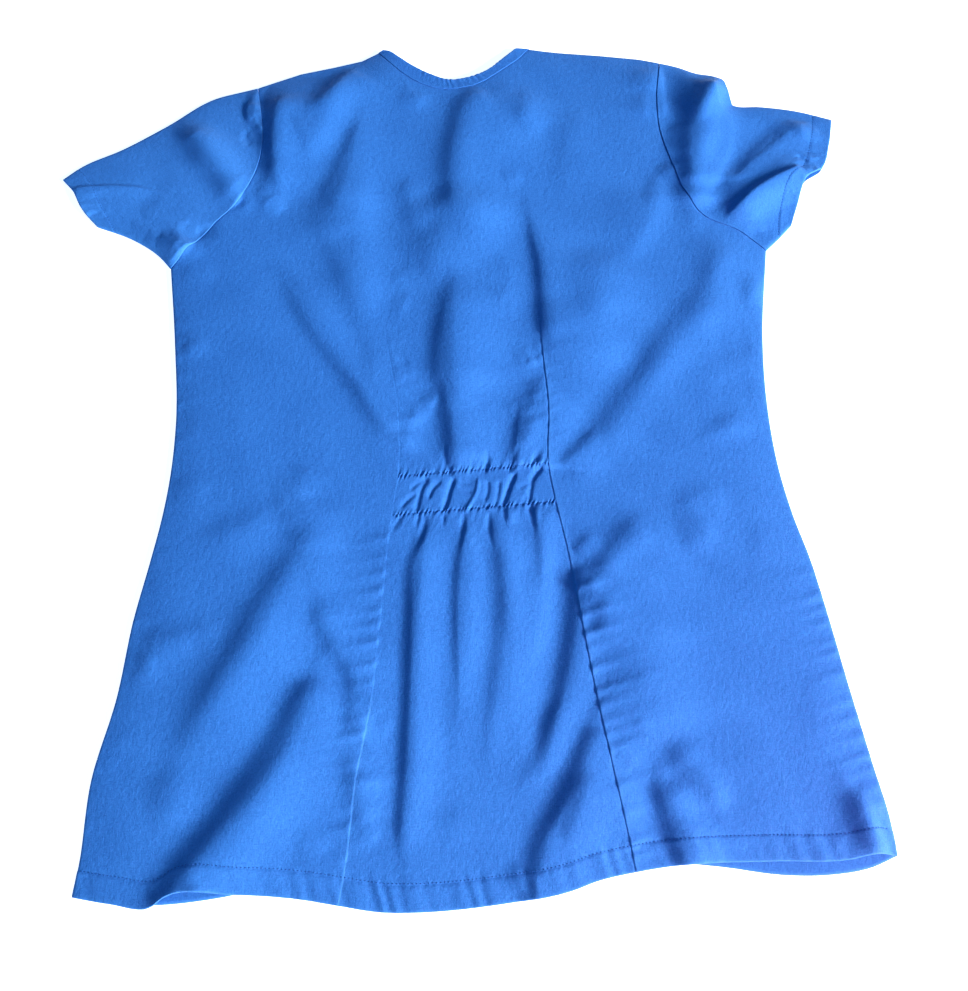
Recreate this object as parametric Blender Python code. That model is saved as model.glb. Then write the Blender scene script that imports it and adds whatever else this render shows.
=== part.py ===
# Short-sleeved medical scrub top, laid out flat with its back uppermost.
#
# Frame: +X to the right of the top as it lies, +Y from the hem to the neck, +Z up.
# The front panel lies on the ground plane, the back panel lies on it, and each sleeve
# is a flattened tube. Sizes and tables are in millimetres, and MM turns them into metres
# where a mesh is made.

from collections import namedtuple

import bmesh
import bpy
import numpy as np
from mathutils import Vector

MM = 0.001

# ---- driving dimensions, in millimetres ----
CLOTH = 1.2                     # thickness of one layer of cloth
GAP = 0.3                       # clearance at seams and between resting layers
SIDE_TOP = 2 * CLOTH + GAP      # height of the back's face along the side seams
FOLD_TOP = 3.6                  # height of a sleeve along its folded edges
FOLD_INSET = 2.5                # how far in from its fold a sleeve reaches that height
FOLD_WALL = 1.8                 # how far in from the fold its inside begins
LOFT = 3.4                      # rise of the upper cloth away from the closed edges
LOFT_REACH = 22.0               # distance from such an edge over which it rises
TROUGH_SHARE = 0.35             # share of the loft left at the bottom of a deep trough
FOLD_GROWTH = 1.4               # folds reach full height this much sooner than the loft
FOLD_START = (-0.15, 0.2)       # shares of a fold's length between which it rises
FOLD_FINISH = (0.75, 1.15)      # shares of its length between which it dies out
NECKBAND_RISE = 0.3             # the folded neckband stands this far above the back
GATHER_DEPTH = 1.5              # depth of the gathers of the elasticated waist
GATHER_RIDGE = 0.35             # height of the ridges between them, as a share of it
GATHER_WIDTH = 0.032            # half width of a valley, as a share of the centre panel
GATHER_LEAN = 0.08              # how far a valley leans left from top to bottom, likewise
GATHER_REACH = 26.0             # distance from the elastic over which gathers fade out
HEM_FADE = 0.16                 # share of the body over which the hem's waviness dies out
NECK_FADE = 0.45                # share of the body over which the neck's curve dies out

SIDE_COLUMNS = 10               # mesh columns across each side of the back
CENTRE_COLUMNS = 24             # mesh columns between the dart seams
SEAM_PULL = 0.35                # how much closer the side columns stand near the seams
FRONT_COLUMNS = (8, 6, 9)       # mesh columns across the hidden front
SLEEVE_COLUMNS = 10             # mesh columns from a sleeve's armhole to its cuff
CURVE_STEPS = 8                 # steps between two points of an edge that is measured

CLOTH_BLUE = (0.044, 0.219, 0.752, 1.0)
BAND_BLUE = (0.040, 0.200, 0.700, 1.0)
CLOTH_ROUGHNESS = 0.85
SMOOTH_ANGLE = 0.9              # edges sharper than this, in radians, stay sharp

# ---- sections of the body, from the hem up to the shoulders ----
# Each row is a line across the body: its left edge, the two dart seams and its right
# edge, then the numbers of mesh rows up to the next section, on the back and the front.
# Above the dart tips the seam columns only guide the mesh up to the ends of the neck.
Section = namedtuple("Section", "left dart_left dart_right right rows front_rows")
SECTIONS = (
    Section((-249, -346), (-69, -351), (130, -330), (309, -320), 1, 1),
    Section((-247, -329), (-66, -333), (127, -313), (308, -303), 3, 1),
    Section((-245, -270), (-60, -270), (117, -262), (299, -256), 3, 1),
    Section((-234, -215), (-51, -215), (107, -209), (289, -205), 3, 1),
    Section((-228, -158), (-47, -158), (98, -156), (280, -156), 3, 1),
    Section((-220, -112), (-44, -113), (91, -110), (271, -112), 4, 1),
    Section((-215, -80), (-41, -79), (82, -68), (261, -76), 4, 1),
    Section((-212, -47), (-37, -48), (77, -38), (254, -40), 5, 2),
    Section((-212, 0), (-38, 0), (78, 5), (250, 8), 4, 2),
    Section((-219, 64), (-52, 84), (73, 72), (251, 66), 4, 2),
    Section((-229, 133), (-56, 150), (70, 150), (261, 150), 2, 2),
    Section((-214, 151), (-57, 175), (69, 172), (240, 167), 2, 2),
    Section((-195, 175), (-58, 198), (68, 192), (209, 183), 2, 2),
    Section((-175, 198), (-58, 220), (67, 212), (196, 202), 2, 2),
    Section((-164, 228), (-59, 250), (66, 245), (187, 232), 2, 2),
    Section((-161, 255), (-60, 278), (65, 273), (179, 266), 2, 2),
    Section((-164, 284), (-62, 312), (65, 312), (178, 302), 2, 2),
    Section((-170, 313), (-66, 347), (68, 355), (183, 340), 0, 0),
)
LOWER_STITCH = 6                # section at the lower stitch row of the elastic
UPPER_STITCH = 7                # section at its upper stitch row
DART_TIP = 9                    # section at the tips of the darts
UNDERARM = 10                   # section at the underarm, where the side seams end

# ---- edges across the top, as points (x, y) from left to right ----
BACK_HEM = ((-249, -346), (-222, -350), (-194, -352), (-184, -345), (-138, -344),
            (-95, -347), (-69, -351), (-41, -355), (-13, -355), (39, -350), (85, -342),
            (106, -335), (130, -330), (156, -326), (224, -323), (275, -322),
            (296, -318), (309, -320))
FRONT_HEM = ((-249, -346), (-222, -350), (-194, -351), (-161, -348), (-138, -344),
             (-112, -336), (-30, -330), (70, -323), (130, -320), (160, -324), (191, -327),
             (231, -332), (261, -332), (292, -327), (309, -320))
BACK_TOP = ((-170, 313), (-133, 328), (-103, 337), (-80, 343), (-66, 347), (-46, 328),
            (-28, 315), (-8, 309), (18, 312), (40, 327), (58, 340), (68, 355), (80, 353),
            (95, 351), (130, 348), (165, 344), (183, 340))
FRONT_TOP = ((-170, 313), (-103, 337), (-66, 347), (1, 206), (68, 355), (95, 351),
             (183, 340))
BACK_NECK_EDGE = ((-60, 354), (-37, 338), (-19, 326), (-4, 320), (16, 323), (33, 332),
                  (43, 342), (56, 355))
FRONT_NECK_EDGE = ((-57, 350), (1, 233), (58, 353))

# ---- sleeves: their folded edges from the body outwards, and the cuff between them ----
Sleeve = namedtuple("Sleeve", "side top under cuff")
SLEEVES = {
    "sleeve_left": Sleeve(
        side="left",
        top=((-170, 313), (-184, 309), (-206, 302), (-246, 273), (-282, 249),
             (-314, 232), (-329, 219)),
        under=((-229, 133), (-240, 145), (-262, 160), (-294, 173)),
        cuff=((-294, 173), (-309, 190), (-319, 208), (-329, 219))),
    "sleeve_right": Sleeve(
        side="right",
        top=((183, 340), (198, 336), (215, 329), (234, 325), (241, 313), (244, 298),
             (267, 295), (301, 289), (329, 280)),
        under=((261, 150), (272, 161), (284, 174)),
        cuff=((284, 174), (290, 192), (300, 218), (314, 228), (323, 252), (329, 280))),
}

# ---- folds: the crest's line from its lower end to its upper end ----
# bow bends the middle of the line to its left, or to its right where it is negative;
# left and right are the widths of the two flanks; a trough has a negative height.
Fold = namedtuple("Fold", "x1 y1 x2 y2 bow left right height")
FOLDS = (
    # skirt, left of the darts
    Fold(-186, -354, -84, -186, -5, 10, 28, 4.4),
    Fold(-184, -246, -104, -92, -5, 13, 26, 2.8),
    Fold(-58, -222, -104, -128, 5, 9, 14, 1.8),
    # skirt, between the darts
    Fold(-24, -352, -16, -86, 5, 9, 16, 3.6),
    Fold(10, -250, 17, -84, 3, 8, 12, 2.0),
    Fold(46, -230, 38, -84, -4, 8, 12, 2.0),
    Fold(78, -256, 95, -92, -5, 10, 16, 3.8),
    Fold(62, -348, 116, -212, 3, 9, 20, 3.8),
    # skirt, right of the darts
    Fold(98, -142, 150, -80, -4, 8, 14, 2.2),
    Fold(168, -332, 148, -262, 4, 10, 20, 3.6),
    Fold(194, -290, 156, -240, -4, 12, 16, 1.2),
    Fold(292, -320, 288, -274, 2, 8, 12, 2.8),
    # creases that fan out from the waist
    Fold(-44, -30, -150, 160, -8, 16, 7, -2.4),
    Fold(-62, 38, -108, 160, -4, 14, 12, -1.2),
    Fold(88, -34, 204, 104, 8, 18, 8, -2.6),
    Fold(196, 84, 212, 162, -6, 18, 12, -1.6),
    # centre of the back above the waist
    Fold(6, -44, -4, 24, -2, 6, 12, 2.4),
    Fold(-2, 20, -4, 120, 2, 9, 16, 3.4),
    Fold(54, -44, 60, 8, 0, 6, 10, 2.2),
    Fold(79, 60, 62, 192, -6, 7, 18, 3.4),
    Fold(4, 168, 32, 316, 12, 14, 22, 2.0),
    # shoulders
    Fold(-118, 280, -60, 352, 0, 10, 22, 2.4),
    Fold(-98, 190, -80, 284, -3, 12, 18, 1.8),
    Fold(-136, 206, -150, 312, 6, 7, 16, 3.0),
    # sleeves
    Fold(-172, 194, -232, 276, -4, 16, 20, 2.4),
    Fold(-206, 148, -262, 176, 4, 10, 10, -1.8),
    Fold(216, 196, 224, 326, -7, 11, 18, 3.8),
    Fold(226, 198, 310, 274, 4, 9, 12, 2.6),
    Fold(236, 176, 304, 228, -2, 8, 16, 3.8),
)

# ---- gathers of the waist: each valley's place across the centre and its depth ----
Gather = namedtuple("Gather", "place depth")
GATHERS = (
    Gather(0.09, 0.7), Gather(0.20, 0.9), Gather(0.34, 1.0), Gather(0.50, 0.9),
    Gather(0.64, 1.0), Gather(0.74, 0.8), Gather(0.85, 0.9), Gather(0.95, 0.6),
)


def clear_scene():
    for thing in list(bpy.data.objects):
        bpy.data.objects.remove(thing, do_unlink=True)


# ---- lines ----

def travelled(line):
    """Distance travelled along a line at each of its points."""
    return np.concatenate([[0.0], np.cumsum(np.hypot(*np.diff(line, axis=0).T))])


def smooth_line(points, counts):
    """Smooth curve through the points, with counts[i] equal steps after point i."""
    points = np.array(points, float)
    reach = travelled(points)
    slopes = np.gradient(points, reach, axis=0)
    places = []
    for start, count in enumerate(counts):
        share = np.arange(count)[:, None] / count
        from_here = (2 * share - 3) * share ** 2 + 1
        leaving = share * (share - 1) ** 2
        arriving = share ** 2 * (share - 1)
        places.append(from_here * points[start] + (1 - from_here) * points[start + 1]
                      + (reach[start + 1] - reach[start])
                      * (leaving * slopes[start] + arriving * slopes[start + 1]))
    return np.vstack(places + [points[-1:]])


def spaced_line(points, shares):
    """Smooth curve through the points, read at shares of its length."""
    fine = smooth_line(points, [CURVE_STEPS] * (len(points) - 1))
    reach = travelled(fine)
    wanted = np.asarray(shares) * reach[-1]
    return np.column_stack([np.interp(wanted, reach, fine[:, axis]) for axis in (0, 1)])


def moved_aside(line, distance):
    """A line moved to its left by a distance, or to its right by a negative one.

    Each point moves along the mitre of the two stretches that meet at it.
    """
    run = np.diff(line, axis=0)
    leftward = np.column_stack([-run[:, 1], run[:, 0]]) / np.hypot(*run.T)[:, None]
    before = np.vstack([leftward[:1], leftward])
    after = np.vstack([leftward, leftward[-1:]])
    facing = np.sum(before * after, axis=1, keepdims=True)
    return line + distance * (before + after) / (1 + facing)


def body_line(column, rows="rows"):
    """An edge or seam of the body, smooth below and above its corner at the underarm."""
    points = [getattr(section, column) for section in SECTIONS]
    counts = [getattr(section, rows) for section in SECTIONS[:-1]]
    skirt = smooth_line(points[:UNDERARM + 1], counts[:UNDERARM])
    yoke = smooth_line(points[UNDERARM:], counts[UNDERARM:])
    return np.vstack([skirt[:-1], yoke])


def row_of(section):
    """Number of the back's mesh row that lies on a section."""
    return sum(entry.rows for entry in SECTIONS[:section])


def armhole(side):
    """The body's armhole from the underarm up to the shoulder."""
    return body_line(side)[row_of(UNDERARM):]


def slit_side(line, direction):
    """A dart seam moved half a clearance aside, up to the dart's tip where it closes."""
    moved = line.copy()
    moved[:row_of(DART_TIP), 0] += direction * GAP / 2
    return moved


# ---- panels ----

def fade(values, start, end):
    """0 below start, 1 above end and smooth between them."""
    share = np.clip((values - start) / (end - start), 0.0, 1.0)
    return share * share * (3 - 2 * share)


def panel_grid(left, right, shares, hem, top):
    """Points of a panel: straight rows between two lines, bent along the hem and the top.

    What an edge departs from the straight row is added in full at that edge, and dies
    out away from it.
    """
    across = shares[None, :, None]
    grid = left[:, None, :] * (1 - across) + right[:, None, :] * across
    up = np.linspace(0.0, 1.0, len(left))[:, None]
    weights = {0: 1 - fade(up, 0.0, HEM_FADE), -1: fade(up, 1 - NECK_FADE, 1.0)}
    for row, edge in ((0, hem), (-1, top)):
        table = np.array(edge, float)
        bend = np.interp(grid[row, :, 0], table[:, 0], table[:, 1]) - grid[row, :, 1]
        grid[:, :, 1] += weights[row] * bend
    return grid


def seam_shares(count):
    """Shares from 0 to 1 that stand closer together at both ends."""
    even = np.linspace(0.0, 1.0, count + 1)
    return even - SEAM_PULL * np.sin(2 * np.pi * even) / (2 * np.pi)


def sleeve_grid(sleeve):
    """Points of one layer of a sleeve, from its underarm fold up and from armhole to cuff.

    A patch between four edges: the straight blends each way, less the corners' blend.
    """
    outward = {"left": GAP, "right": -GAP}[sleeve.side]
    inner = moved_aside(armhole(sleeve.side), outward)
    up = travelled(inner) / travelled(inner)[-1]
    out = np.linspace(0.0, 1.0, SLEEVE_COLUMNS + 1)
    outer = spaced_line(sleeve.cuff, up)
    under = spaced_line((inner[0],) + sleeve.under[1:], out)
    top = spaced_line((inner[-1],) + sleeve.top[1:], out)
    up, out = up[:, None, None], out[None, :, None]
    corners = ((1 - up) * (1 - out) * inner[0] + (1 - up) * out * outer[0]
               + up * (1 - out) * inner[-1] + up * out * outer[-1])
    return ((1 - out) * inner[:, None, :] + out * outer[:, None, :]
            + (1 - up) * under[None, :, :] + up * top[None, :, :] - corners)


# ---- heights ----

def closed_edges():
    """Side seams, sleeve folds and shoulders, where the upper cloth meets the lower."""
    lines = [body_line(side)[:row_of(UNDERARM) + 1] for side in ("left", "right")]
    shares = np.linspace(0.0, 1.0, 2 * SLEEVE_COLUMNS + 1)
    for sleeve in SLEEVES.values():
        lines += [spaced_line(sleeve.top, shares), spaced_line(sleeve.under, shares)]
    top = np.array(BACK_TOP, float)
    shoulder_left = top[:, 0] <= SECTIONS[-1].dart_left[0]
    shoulder_right = top[:, 0] >= SECTIONS[-1].dart_right[0]
    return lines + [top[shoulder_left], top[shoulder_right]]


def distance_to(lines, places):
    """Distance of each place from the nearest of several open lines."""
    nearest = np.full(places.shape[:-1], np.inf)
    for line in lines:
        for start, end in zip(line[:-1], line[1:]):
            run = end - start
            along = np.clip(((places - start) @ run) / (run @ run), 0.0, 1.0)
            away = places - (start + along[..., None] * run)
            nearest = np.minimum(nearest, np.hypot(away[..., 0], away[..., 1]))
    return nearest


def fold_height(places):
    """Sum of the folds: a bell across each bent line, dying out at its two ends."""
    total = np.zeros(places.shape[:-1])
    for fold in FOLDS:
        start = np.array((fold.x1, fold.y1), float)
        run = np.array((fold.x2, fold.y2), float) - start
        length = np.hypot(*run)
        run /= length
        offset = places - start
        along = (offset @ run) / length
        bent = fold.bow * (1 - (2 * np.clip(along, 0.0, 1.0) - 1) ** 2)
        aside = offset[..., 1] * run[0] - offset[..., 0] * run[1] - bent
        width = np.where(aside > 0, fold.left, fold.right)
        ends = fade(along, *FOLD_START) * (1 - fade(along, *FOLD_FINISH))
        total += fold.height * np.exp(-(aside / width) ** 2) * ends
    return total


def cloth_height(places, edges):
    """Height of the upper cloth's face: loft away from the closed edges, plus the folds.

    Troughs are eased, so that the cloth never sinks into the layer under it.
    """
    inward = 1 - np.exp(-distance_to(edges, places) / LOFT_REACH)
    raised = LOFT * inward + fold_height(places) * np.minimum(1.0, FOLD_GROWTH * inward)
    lowest = TROUGH_SHARE * LOFT * inward
    eased = (raised + lowest + np.hypot(raised - lowest, inward)) / 2
    return SIDE_TOP + eased


def gather_height(grid, shares):
    """Valleys of the elasticated waist across the centre, and the ridges between them."""
    lower, upper = row_of(LOWER_STITCH), row_of(UPPER_STITCH)
    up = (np.arange(len(grid))[:, None] - lower) / (upper - lower)
    across = shares[None, :] - GATHER_LEAN * (np.clip(up, -1, 2) - 0.5)
    wave = np.full_like(across, GATHER_RIDGE)
    for valley in GATHERS:
        bell = np.exp(-((across - valley.place) / GATHER_WIDTH) ** 2)
        wave -= (1 + GATHER_RIDGE) * valley.depth * bell
    away = (np.maximum(grid[lower, :, 1] - grid[:, :, 1], 0)
            + np.maximum(grid[:, :, 1] - grid[upper, :, 1], 0))
    return GATHER_DEPTH * wave * (1 - fade(away, 0.0, GATHER_REACH))


# ---- meshes ----

def new_surface():
    """An empty mesh whose points also hold the vector from the outer face to the inner."""
    bm = bmesh.new()
    bm.verts.layers.float_vector.new("inward")
    return bm


def add_panels(bm, panels, inward, joined_from=0):
    """Add grids of points side by side, joined to each other from one row upwards."""
    layer = bm.verts.layers.float_vector["inward"]
    below = None
    for number in range(len(panels[0])):
        row = []
        for panel, moves in zip(panels, inward):
            share_first = bool(row) and number >= joined_from
            corners = [row[-1][-1]] if share_first else []
            for point, move in list(zip(panel[number], moves[number]))[len(corners):]:
                vertex = bm.verts.new(Vector(point) * MM)
                vertex[layer] = Vector(move) * MM
                corners.append(vertex)
            row.append(corners)
        for lower, upper in zip(below or [], row):
            for column in range(len(lower) - 1):
                bm.faces.new((lower[column], lower[column + 1],
                              upper[column + 1], upper[column]))
        below = row


def close_wall(bm):
    """Close a surface into a wall, with a copy moved by each point's inward vector."""
    layer = bm.verts.layers.float_vector["inward"]
    bmesh.ops.remove_doubles(bm, verts=bm.verts[:], dist=0.01 * MM)
    wall = bmesh.ops.extrude_face_region(bm, geom=bm.faces[:], use_keep_orig=True)
    for part in wall["geom"]:
        if isinstance(part, bmesh.types.BMVert):
            part.co += part[layer]
    bmesh.ops.recalc_face_normals(bm, faces=bm.faces[:])


def even_wall(grid, height):
    """The same upright inward vector at each point of a grid."""
    return np.broadcast_to(np.array((0.0, 0.0, height)), grid.shape)


def cloth_material(name, colour):
    material = bpy.data.materials.new(name)
    material.use_nodes = True
    shader = material.node_tree.nodes["Principled BSDF"]
    shader.inputs["Base Color"].default_value = colour
    shader.inputs["Roughness"].default_value = CLOTH_ROUGHNESS
    shader.inputs["Metallic"].default_value = 0.0
    material.diffuse_color = colour
    return material


def add_piece(name, bm, colour, collection):
    close_wall(bm)
    mesh = bpy.data.meshes.new(name)
    bm.to_mesh(mesh)
    bm.free()
    mesh.materials.append(cloth_material(name + "_cloth", colour))
    mesh.shade_smooth()
    mesh.set_sharp_from_angle(angle=SMOOTH_ANGLE)
    collection.objects.link(bpy.data.objects.new(name, mesh))


# ---- pieces ----

def make_back(edges, collection):
    """Back, cut in one: two long darts stand open as slits, and the waist is gathered."""
    seam_left, seam_right = body_line("dart_left"), body_line("dart_right")
    side, centre = seam_shares(SIDE_COLUMNS), np.linspace(0.0, 1.0, CENTRE_COLUMNS + 1)
    plans = (
        panel_grid(body_line("left"), slit_side(seam_left, -1), side, BACK_HEM, BACK_TOP),
        panel_grid(slit_side(seam_left, 1), slit_side(seam_right, -1), centre,
                   BACK_HEM, BACK_TOP),
        panel_grid(slit_side(seam_right, 1), body_line("right"), side, BACK_HEM, BACK_TOP),
    )
    heights = [cloth_height(plan, edges) for plan in plans]
    heights[1] += gather_height(plans[1], centre)
    panels = [np.dstack([plan, height]) for plan, height in zip(plans, heights)]
    bm = new_surface()
    add_panels(bm, panels, [even_wall(panel, -CLOTH) for panel in panels],
               joined_from=row_of(DART_TIP))
    add_piece("back", bm, CLOTH_BLUE, collection)
    return plans[1][-1]


def make_front(collection):
    """Front, flat on the ground with a plain V neck."""
    lines = [body_line(column, "front_rows")
             for column in ("left", "dart_left", "dart_right", "right")]
    plans = [panel_grid(left, right, np.linspace(0.0, 1.0, count + 1), FRONT_HEM, FRONT_TOP)
             for left, right, count in zip(lines, lines[1:], FRONT_COLUMNS)]
    panels = [np.dstack([plan, np.zeros(plan.shape[:2])]) for plan in plans]
    bm = new_surface()
    add_panels(bm, panels, [even_wall(panel, CLOTH) for panel in panels])
    add_piece("front", bm, CLOTH_BLUE, collection)
    return plans[1][-1]


def make_sleeve(name, sleeve, edges, collection):
    """Sleeve: a flattened tube, closed at both folds and open at the armhole and cuff."""
    plan = sleeve_grid(sleeve)
    folds = (plan[0], plan[-1])
    steps = [beside - fold for fold, beside in zip(folds, (plan[1], plan[-2]))]
    steps = [step / np.hypot(step[:, 0], step[:, 1])[:, None] for step in steps]
    insets = [fold + FOLD_INSET * step for fold, step in zip(folds, steps)]
    layer = np.concatenate([insets[0][None], plan[1:-1], insets[1][None]])
    upper = np.dstack([layer, np.maximum(cloth_height(layer, edges), FOLD_TOP)])
    lower = np.dstack([layer, np.zeros(layer.shape[:2])])[::-1]
    rims = [np.dstack([fold[None], np.full((1, len(fold)), FOLD_TOP / 2)]) for fold in folds]
    rim_walls = [np.dstack([FOLD_WALL * step[None], np.zeros((1, len(step)))])
                 for step in steps]
    ring = np.concatenate([rims[0], upper, rims[1], lower, rims[0]])
    walls = np.concatenate([rim_walls[0], even_wall(upper, -CLOTH), rim_walls[1],
                            even_wall(lower, CLOTH), rim_walls[0]])
    bm = new_surface()
    add_panels(bm, [ring], [walls])
    add_piece(name, bm, CLOTH_BLUE, collection)


def make_neckband_back(seam, edges, collection):
    """Neckband along the back of the neck, between the shoulders."""
    seam = moved_aside(seam, GAP)
    edge = spaced_line(BACK_NECK_EDGE, travelled(seam) / travelled(seam)[-1])
    plan = np.stack([seam, (seam + edge) / 2, edge])
    band = np.dstack([plan, cloth_height(plan, edges) + NECKBAND_RISE])
    bm = new_surface()
    add_panels(bm, [band], [even_wall(band, -CLOTH)])
    add_piece("neckband_back", bm, BAND_BLUE, collection)


def make_neckband_front(seam, collection):
    """Neckband round the V of the front, flat on the ground."""
    seam = moved_aside(seam, GAP)
    corner = np.array(FRONT_NECK_EDGE, float)
    half = np.linspace(0.0, 1.0, len(seam))
    thirds = np.linspace(0.0, 1.0, len(corner))
    edge = np.column_stack([np.interp(half, thirds, corner[:, axis]) for axis in (0, 1)])
    plan = np.stack([seam, edge])
    band = np.dstack([plan, np.zeros(plan.shape[:2])])
    bm = new_surface()
    add_panels(bm, [band], [even_wall(band, CLOTH)])
    add_piece("neckband_front", bm, BAND_BLUE, collection)


def make_scrub_top():
    clear_scene()
    collection = bpy.data.collections.new("medical_scrub_top")
    bpy.context.scene.collection.children.link(collection)
    edges = closed_edges()
    back_neck = make_back(edges, collection)
    front_neck = make_front(collection)
    for name, sleeve in SLEEVES.items():
        make_sleeve(name, sleeve, edges, collection)
    make_neckband_back(back_neck, edges, collection)
    make_neckband_front(front_neck, collection)


make_scrub_top()
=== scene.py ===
import math

import bpy
import numpy as np
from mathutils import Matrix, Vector


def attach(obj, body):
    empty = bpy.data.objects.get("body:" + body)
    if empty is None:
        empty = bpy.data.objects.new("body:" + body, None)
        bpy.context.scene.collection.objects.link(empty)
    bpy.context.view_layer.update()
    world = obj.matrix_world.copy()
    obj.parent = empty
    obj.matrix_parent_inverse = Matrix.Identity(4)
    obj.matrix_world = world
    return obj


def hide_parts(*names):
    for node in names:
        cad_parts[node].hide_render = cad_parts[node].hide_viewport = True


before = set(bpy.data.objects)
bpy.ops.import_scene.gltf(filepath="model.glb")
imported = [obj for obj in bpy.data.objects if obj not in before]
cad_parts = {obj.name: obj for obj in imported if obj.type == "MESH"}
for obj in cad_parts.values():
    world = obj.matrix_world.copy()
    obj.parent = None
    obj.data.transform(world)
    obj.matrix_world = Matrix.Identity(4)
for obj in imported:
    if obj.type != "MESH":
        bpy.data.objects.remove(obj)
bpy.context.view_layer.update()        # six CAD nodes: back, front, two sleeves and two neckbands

mm = 0.001          # every size below is in millimetres, in the frame of the CAD

# How the whole top lies: the front flat on the floor, the back lofted over it.
lay = {
    "cloth": 1.2,               # one wall
    "gap": 0.3,                 # clearance at seams
    "sideTop": 2.7,             # height of the back's face along the side seams
    "loft": 3.4,                # rise away from the closed edges
    "loftReach": 22.0,          # distance over which it rises
    "troughShare": 0.35,        # share of the loft left in a deep trough
    "foldGrowth": 1.4,          # folds grow this much sooner than the loft
    "foldStart": (-0.15, 0.2),  # shares of a fold's length between which it rises
    "foldFinish": (0.75, 1.15), # shares of its length between which it dies out
    "taper": 0.45,              # share of a fold's width left where it dies out
    "roll": 1.0,                # radius of a turned edge
    "swell": 0.16,              # height of the broad, shallow unevenness of worn cloth
}

# Main folds: crest from (x1, y1) up to (x2, y2), bow to its left, widths of the left and
# the right flank, height (a trough's is negative).
folds = (
    (-187, -353, -85, -185, -5, 10, 32, 2.1),
    (-178, -249, -98, -95, -5, 19, 36, 4.6),
    (-59, -222, -105, -128, 5, 25, 8, -0.9),
    (-22, -352, -14, -86, 5, 7, 36, 1),
    (10, -250, 17, -84, 3, 7, 12, 0.7),
    (48, -230, 40, -84, -4, 7, 11, 0.5),
    (69, -255, 86, -91, -5, 15, 20, -2.6),
    (62, -348, 116, -212, 3, 7, 36, 1.5),
    (108, -149, 160, -87, -4, 23, 36, 3),
    (169, -331, 149, -261, 4, 6, 36, 2.5),
    (296, -320, 292, -274, 2, 11, 36, 5),
    (-46, -31, -152, 159, -8, 12, 9, 0.6),
    (-68, 35, -114, 157, -4, 32, 11, -1.5),
    (92, -37, 208, 101, 8, 16, 15, -2.8),
    (205, 82, 221, 160, -6, 22, 27, 2.1),
    (10, -43, 0, 25, -2, 10, 23, 3),
    (9, 20, 7, 120, 2, 16, 29, 5),
    (51, -44, 57, 8, 0, 3, 7, 0.7),
    (83, 60, 66, 192, -6, 10, 36, 2.1),
    (20, 165, 48, 313, 12, 30, 36, 4.4),
    (-121, 281, -63, 353, 0, 11, 36, 2.6),
    (-94, 189, -76, 283, -3, 10, 36, 1.8),
    (-140, 206, -154, 312, 6, 9, 36, 4),
    (-174, 193, -234, 275, -4, 13, 15, 5),
    (-207, 146, -263, 174, 4, 10, 7, 2.6),
    (225, 199, 309, 275, 4, 9, 25, 2.1),
    (230, 183, 298, 235, -2, 14, 18, 5),
)

# Creases along bent lines, by the shares of their length over which they rise and fall:
# height, left and right width, then x and y of each point of the crest.
creases = {}
creases[0.15, 0.15] = (
    (-1, 2.3, 1.3, -35, -74, -30, -68, -23, -62),
    (-0.9, 2.3, 1.3, -28, -59, -22, -54, -14, -49),
    (-1.2, 2.5, 1.5, -23, -78, -21, -67, -18, -56, -13, -49),
    (-1.1, 2.5, 1.4, -14, -67, -11, -59, -4, -51),
    (-1.7, 2.7, 1.5, -3, -77, 0, -69, 2, -61, 6, -48),
    (0.9, 1.2, 1.7, 12, -77, 18, -69, 22, -61, 24, -48),
    (-0.9, 2.3, 1.3, 28, -69, 31, -61, 31, -51),
    (-0.9, 2.3, 1.3, 36, -74, 38, -67, 40, -51),
    (-2, 2.7, 1.6, 42, -74, 45, -64, 48, -55, 53, -44),
    (-0.6, 2.3, 1.1, 54, -59, 59, -55, 65, -52),
    (-1.1, 2.5, 1.3, 62, -72, 63, -63, 65, -51),
    (-1.6, 2.7, 1.5, 64, -53, 68, -46, 73, -40),
    (-0.6, 2.1, 1, 8, -56, 14, -60, 19, -62),
    (-0.5, 2.1, 1, 9, -52, 15, -54, 19, -55),
    (-0.5, 2.1, 1, 55, -72, 59, -67, 60, -63),
)
creases[0, 0.7] = (
    (-1, 2.7, 1.8, 3, -45, -1, -37, -2, -28, -2, -20),
    (-1.1, 2.7, 1.8, 48, -43, 51, -34, 54, -27, 56, -20),
)
creases[0, 0.6] = (
    (-1.1, 2.5, 1.6, 29, -43, 31, -35, 31, -27),
    (3.6, 13, 8, 299, -342, 295, -320, 290, -301, 284, -285, 276, -266, 268, -248),
)
creases[0.3, 0.5] = (
    (-1.1, 2.3, 1.4, 63, -40, 67, -34, 73, -27),
    (-0.9, 2.3, 1.3, 66, -38, 70, -33, 72, -30),
    (0.7, 4.4, 5.7, -215, 60, -208, 62, -201, 66),
)
creases[0.7, 0] = (
    (-0.9, 2.7, 1.8, -29, -112, -21, -102, -17, -91, -16, -81),
    (-0.9, 2.7, 1.8, 7, -112, 10, -102, 12, -91, 13, -81),
    (-0.9, 2.7, 1.8, 36, -112, 34, -102, 32, -91, 32, -79),
    (-1.2, 2.7, 2, 66, -95, 65, -86, 63, -73),
)
creases[0.5, 0] = (
    (-1, 2.3, 1.3, -42, -93, -39, -88, -35, -82),
    (-0.9, 2.3, 1.3, -23, -89, -22, -85, -21, -81),
    (-0.9, 2.3, 1.3, -3, -87, -2, -84, -2, -80),
    (-0.6, 2.3, 1.3, 69, -86, 72, -79, 75, -75),
    (-0.8, 2.5, 2, 84, -79, 81, -75, 78, -73),
)
creases[0.6, 0] = (
    (-0.9, 2.5, 1.6, 44, -87, 44, -82, 44, -77),
)
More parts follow.
